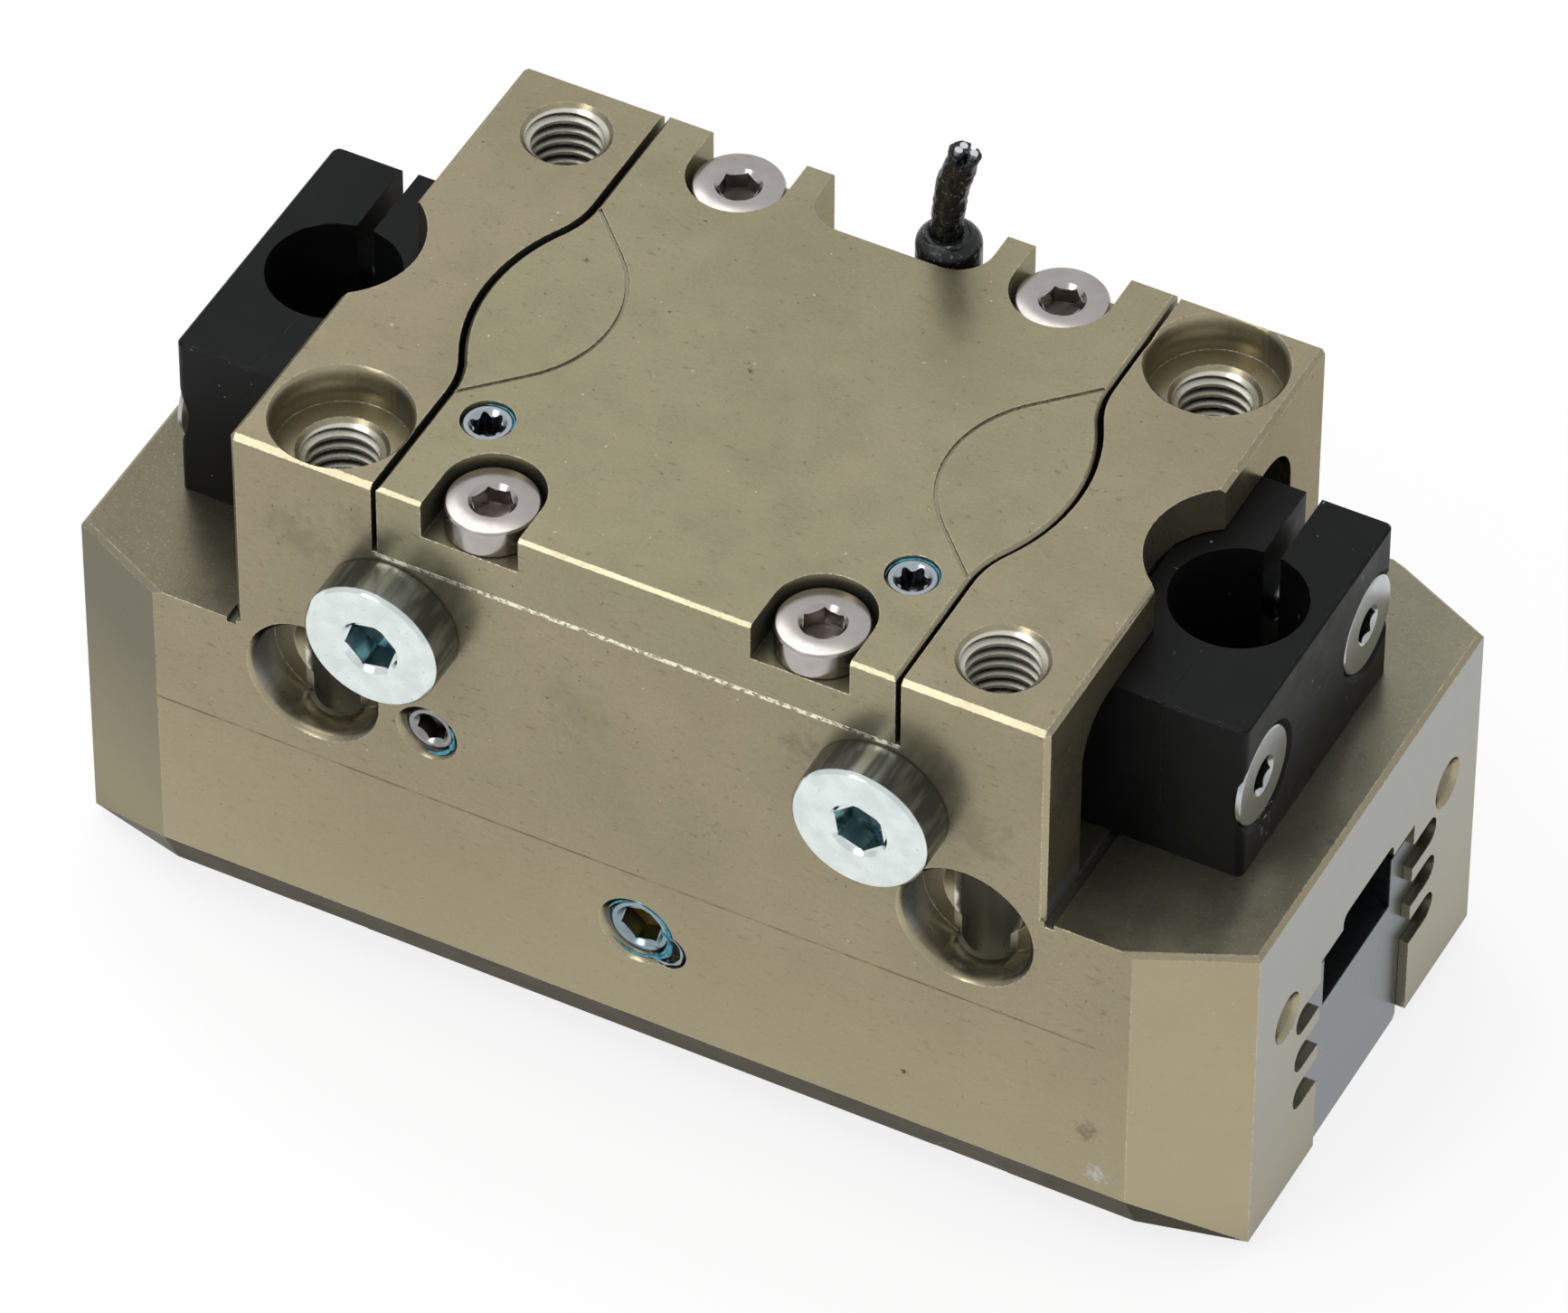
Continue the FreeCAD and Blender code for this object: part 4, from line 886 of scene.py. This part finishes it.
def threaded_housing(material):
    """The housing with its top threads and small bevels cut and its head bores narrowed."""
    pattern = MOUNTS["top_threads"]
    centre = Vector(pattern["pos_m"])
    half_x = pattern["dims"]["spacing_x_mm"] * MM / 2.0
    half_y = pattern["dims"]["spacing_y_mm"] * MM / 2.0
    seat = MOUNTS["centring_seat_front_left"]
    seat_floor = seat["pos_m"][2] - seat["dims"]["length_mm"] * MM / 2.0
    low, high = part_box("housing")
    cutters = []
    rings = []
    for sx in (-1, 1):
        for sy in (-1, 1):
            place = Vector((centre.x + sx * half_x, centre.y + sy * half_y, 0.0))
            cutters.append(thread_cutter(place, seat_floor if sx == sy else high.z))
            place.z = low.z
            rings.append(bore_ring(place, centre.y, sy))
    for node, radius in HOLE_BEVELS.items():
        middle = box_middle(node)
        bevel = lathe([(0.0, -HOLE_BEVEL_DEEP), (radius - HOLE_BEVEL_DEEP, -HOLE_BEVEL_DEEP),
                       (radius + CUT_PAST, CUT_PAST), (0.0, CUT_PAST)])
        cutters.append(placed(bevel, [(Vector((middle.x, low.y, middle.z)), FRONT, 0.0)]))
    mesh = carve(carve(NODES["housing"].data.copy(), rings, "UNION"), cutters)
    stand_in("housing_threaded", "housing", mesh, material)


def bore_ring(place, centre_y, side):
    """Ring that narrows a head bore underneath, kept behind the slanted foot of the long side."""
    outer = HEAD_BORE + RING_INTO_WALL
    top = HEAD_BORE_DEEP - RING_SHY
    ring = lathe([(0.0, RING_SHY), (outer, RING_SHY), (outer, top), (0.0, top)])
    past = HEAD_BORE_DEEP + RING_PAST
    hole = lathe([(0.0, -RING_PAST), (RING_HOLE, -RING_PAST), (RING_HOLE, past), (0.0, past)])
    for mesh in (ring, hole):
        mesh.transform(Matrix.Translation(place))
    low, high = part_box("housing")
    foot = centre_y + side * ((high.y - low.y) / 2.0 - (FOOT_IN + RING_SHY) * MM)
    lean = side * FOOT_IN / FOOT_HIGH
    wedge = bmesh.new()
    pairs = []
    for x in (-WEDGE_HALF, WEDGE_HALF):
        for z in (WEDGE_LOW, WEDGE_HIGH):
            pairs.append([wedge.verts.new((place.x + x * MM, y, place.z + z * MM))
                          for y in (foot + lean * z * MM, foot + side * WEDGE_OUT * MM)])
    (a, b), (c, d), (e, f), (g, h) = pairs
    for face in ((a, c, g, e), (b, f, h, d), (a, e, f, b), (c, d, h, g), (a, b, d, c), (e, g, h, f)):
        wedge.faces.new(face)
    return carve(ring, [hole, mesh_of(wedge, "beyond")])


def smear(name, middle, axis, sizes, material):
    """Ragged crescent round a place: radius, first and last angle in degrees, width and height."""
    radius, start, end, width, height = sizes
    bm = bmesh.new()
    rings = []
    for step in range(SMEAR_STEPS + 1):
        share = step / SMEAR_STEPS
        turn = math.radians(start + (end - start) * share)
        wave = noise.noise(Vector((share * SMEAR_WAVES, radius, width * SMEAR_SPREAD)))
        fat = max(SMEAR_THIN, math.sin(math.pi * share) ** 0.5)
        fat *= SMEAR_PLAIN + SMEAR_RAGGED * wave
        ring = []
        for index in range(SMEAR_SIDES):
            angle = 2.0 * math.pi * index / SMEAR_SIDES
            reach = radius + width * fat * math.cos(angle) / 2.0
            rise = height * fat * math.sin(angle) / 2.0
            ring.append(bm.verts.new((reach * math.cos(turn) * MM, reach * math.sin(turn) * MM,
                                      rise * MM)))
        rings.append(ring)
    for first, second in zip(rings, rings[1:]):
        for index in range(SMEAR_SIDES):
            after = (index + 1) % SMEAR_SIDES
            bm.faces.new((first[index], first[after], second[after], second[index]))
    bm.faces.new(rings[0])
    bm.faces.new(rings[-1])
    for face in bm.faces:
        face.smooth = True
    mesh = mesh_of(bm, name)
    turned = Vector(axis).to_track_quat("Z", "Y").to_matrix().to_4x4()
    mesh.transform(Matrix.Translation(middle) @ turned)
    add_piece(name, mesh, material)


def make_threadlock(blue, pale):
    """Cured threadlock round the small screws, and the pale lip of the hole beside the centre plug."""
    small = box_middle("front_set_screw")
    centre = box_middle("centre_plug")
    beside = SIDE_HOLE * MM
    middles = (small, centre, centre + beside * BRIDGE_SHARE, centre + beside)
    for (name, row), middle in zip(FRONT_LOCKS.items(), middles):
        *sizes, sink = row
        place = Vector((middle.x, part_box("housing")[0].y + sink * MM, middle.z))
        material = pale if name == "centre_side_lip" else blue
        smear(name, place, FRONT, sizes, material)
    for (name, row), place in zip(COVER_LOCKS.items(), cover_set_heads()):
        *sizes, sink = row
        place.z -= sink * MM
        smear(name, place, UP, sizes, blue)


def crumpled(node):
    """Finely divided copy of a CAD node's mesh, pushed in and out by soft noise."""
    work = bpy.data.objects.new("work", NODES[node].data.copy())
    bpy.context.scene.collection.objects.link(work)
    fine = work.modifiers.new("fine", "REMESH")
    fine.mode = "VOXEL"
    fine.voxel_size = SHEATH_CELL * MM
    mesh = evaluated(work)
    bpy.data.objects.remove(work)
    normals = [vertex.normal.copy() for vertex in mesh.vertices]
    for vertex, normal in zip(mesh.vertices, normals):
        place = vertex.co / (SHEATH_WRINKLE * MM)
        push = sum(noise.noise(place * rate) * share for rate, share in SHEATH_RIPPLES)
        vertex.co += normal * push * SHEATH_DENT * MM
    for polygon in mesh.polygons:
        polygon.use_smooth = True
    return mesh


def make_switch_details(plastic):
    """The cable's crumpled sheath, and the torn lip where it leaves the switch."""
    stand_in("switch_cable_crumpled", "switch_cable", crumpled("switch_cable"),
             dark_rubber("cable_sheath"))
    root = box_middle("magnetic_switch")
    root.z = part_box("magnetic_switch")[1].z - TORN_LIP["sink"] * MM
    sizes = [TORN_LIP[size] for size in ("radius", "start", "end", "width", "height")]
    smear("switch_torn_lip", root, UP, sizes, plastic)


def dress_nodes():
    """Gives every piece its material, and adds the pieces that the CAD model leaves plain."""
    threaded_housing(anodised_aluminium("hard_anodised", tone("body"), tone("body_dull")))
    metals = {name: bright_metal(name) for name in METALS}
    make_fasteners(metals)
    plastic = dark_rubber("switch_plastic")
    make_switch_details(plastic)
    make_threadlock(threadlock(), metals["plated_steel"])
    cover = anodised_aluminium("hard_anodised_cover", tone("cover"), tone("cover_dull"))
    looks = (
        (cover, ("piston_cover",)),
        (jaw_steel(), ("base_jaw_left", "base_jaw_right", "wedge_hook")),
        (black_bracket(), ("bracket_outer_left", "bracket_inner_left", "bracket_outer_right",
                           "bracket_inner_right")),
        (dark_rubber("seal_rubber"), ("cover_seal", "rod_seal", "piston_seal")),
        (metals["piston_aluminium"], ("piston",)),
        (metals["stainless"], ("piston_screw",)),
        (metals["set_screw_steel"], ("piston_magnet",)),
        (metals["core_copper"], ("switch_cores",)),
        (plastic, ("magnetic_switch",)),
    )
    for material, nodes in looks:
        for node in nodes:
            paint(node, material)


def make_camera():
    """Camera at the photograph's viewing angle."""
    data = bpy.data.cameras.new("photo_camera")
    data.lens = CAMERA_LENS
    data.sensor_width = CAMERA_SENSOR
    data.clip_start = CAMERA_NEAR
    data.clip_end = CAMERA_FAR
    camera = bpy.data.objects.new("photo_camera", data)
    bpy.context.scene.collection.objects.link(camera)
    turn = Matrix.Rotation(math.radians(CAMERA_AZIMUTH), 4, "Z")
    tilt = Matrix.Rotation(math.radians(90.0 - CAMERA_ELEVATION), 4, "X")
    roll = Matrix.Rotation(math.radians(CAMERA_ROLL), 4, "Z")
    camera.matrix_world = Matrix.Translation(CAMERA_PLACE) @ turn @ tilt @ roll
    bpy.context.scene.camera = camera


def make_world():
    """Even, nearly white surroundings."""
    world = bpy.data.worlds.new("studio")
    bpy.context.scene.world = world
    world.use_nodes = True
    background = world.node_tree.nodes["Background"]
    background.inputs["Color"].default_value = (*WORLD_COLOUR, 1.0)
    background.inputs["Strength"].default_value = WORLD_STRENGTH


def soft_lamp(name, lamp_sizes):
    """Square area lamp that points at the part."""
    data = bpy.data.lights.new(name, "AREA")
    data.shape = "SQUARE"
    data.size = lamp_sizes["size"]
    data.energy = lamp_sizes["power"]
    lamp = bpy.data.objects.new(name, data)
    bpy.context.scene.collection.objects.link(lamp)
    lamp.location = lamp_sizes["place"]
    aim = Vector(LAMP_AIM) - Vector(lamp_sizes["place"])
    lamp.rotation_euler = aim.to_track_quat("-Z", "Y").to_euler()


def make_floor():
    """Plain pale floor, which looks nearly white to the camera and in reflections."""
    mesh = bpy.data.meshes.new("floor")
    half = FLOOR_HALF
    corners = [(-half, -half, 0), (half, -half, 0), (half, half, 0), (-half, half, 0)]
    mesh.from_pydata(corners, [], [(0, 1, 2, 3)])
    floor = bpy.data.objects.new("floor", mesh)
    bpy.context.scene.collection.objects.link(floor)
    look = Shading("floor", metallic=0.0, roughness=0.9)
    look.shader.inputs["Base Color"].default_value = (*FLOOR_COLOUR, 1.0)
    path = look.add("ShaderNodeLightPath").outputs
    seen = look.math("MAXIMUM", path["Is Camera Ray"], path["Is Glossy Ray"])
    seen = look.math("MAXIMUM", seen, path["Is Transmission Ray"])
    blend = look.add("ShaderNodeMixShader")
    look.feed(blend.inputs[0], look.times(seen, FLOOR_WHITE))
    look.feed(blend.inputs[1], look.shader.outputs[0])
    look.feed(blend.inputs[2], look.add("ShaderNodeEmission").outputs[0])
    look.feed(look.output.inputs["Surface"], blend.outputs[0])
    mesh.materials.append(look.finish())


bpy.context.scene.view_settings.view_transform = "Standard"
make_camera()
make_world()
soft_lamp("top_lamp", TOP_LAMP)
soft_lamp("front_lamp", FRONT_LAMP)
make_floor()
dress_nodes()
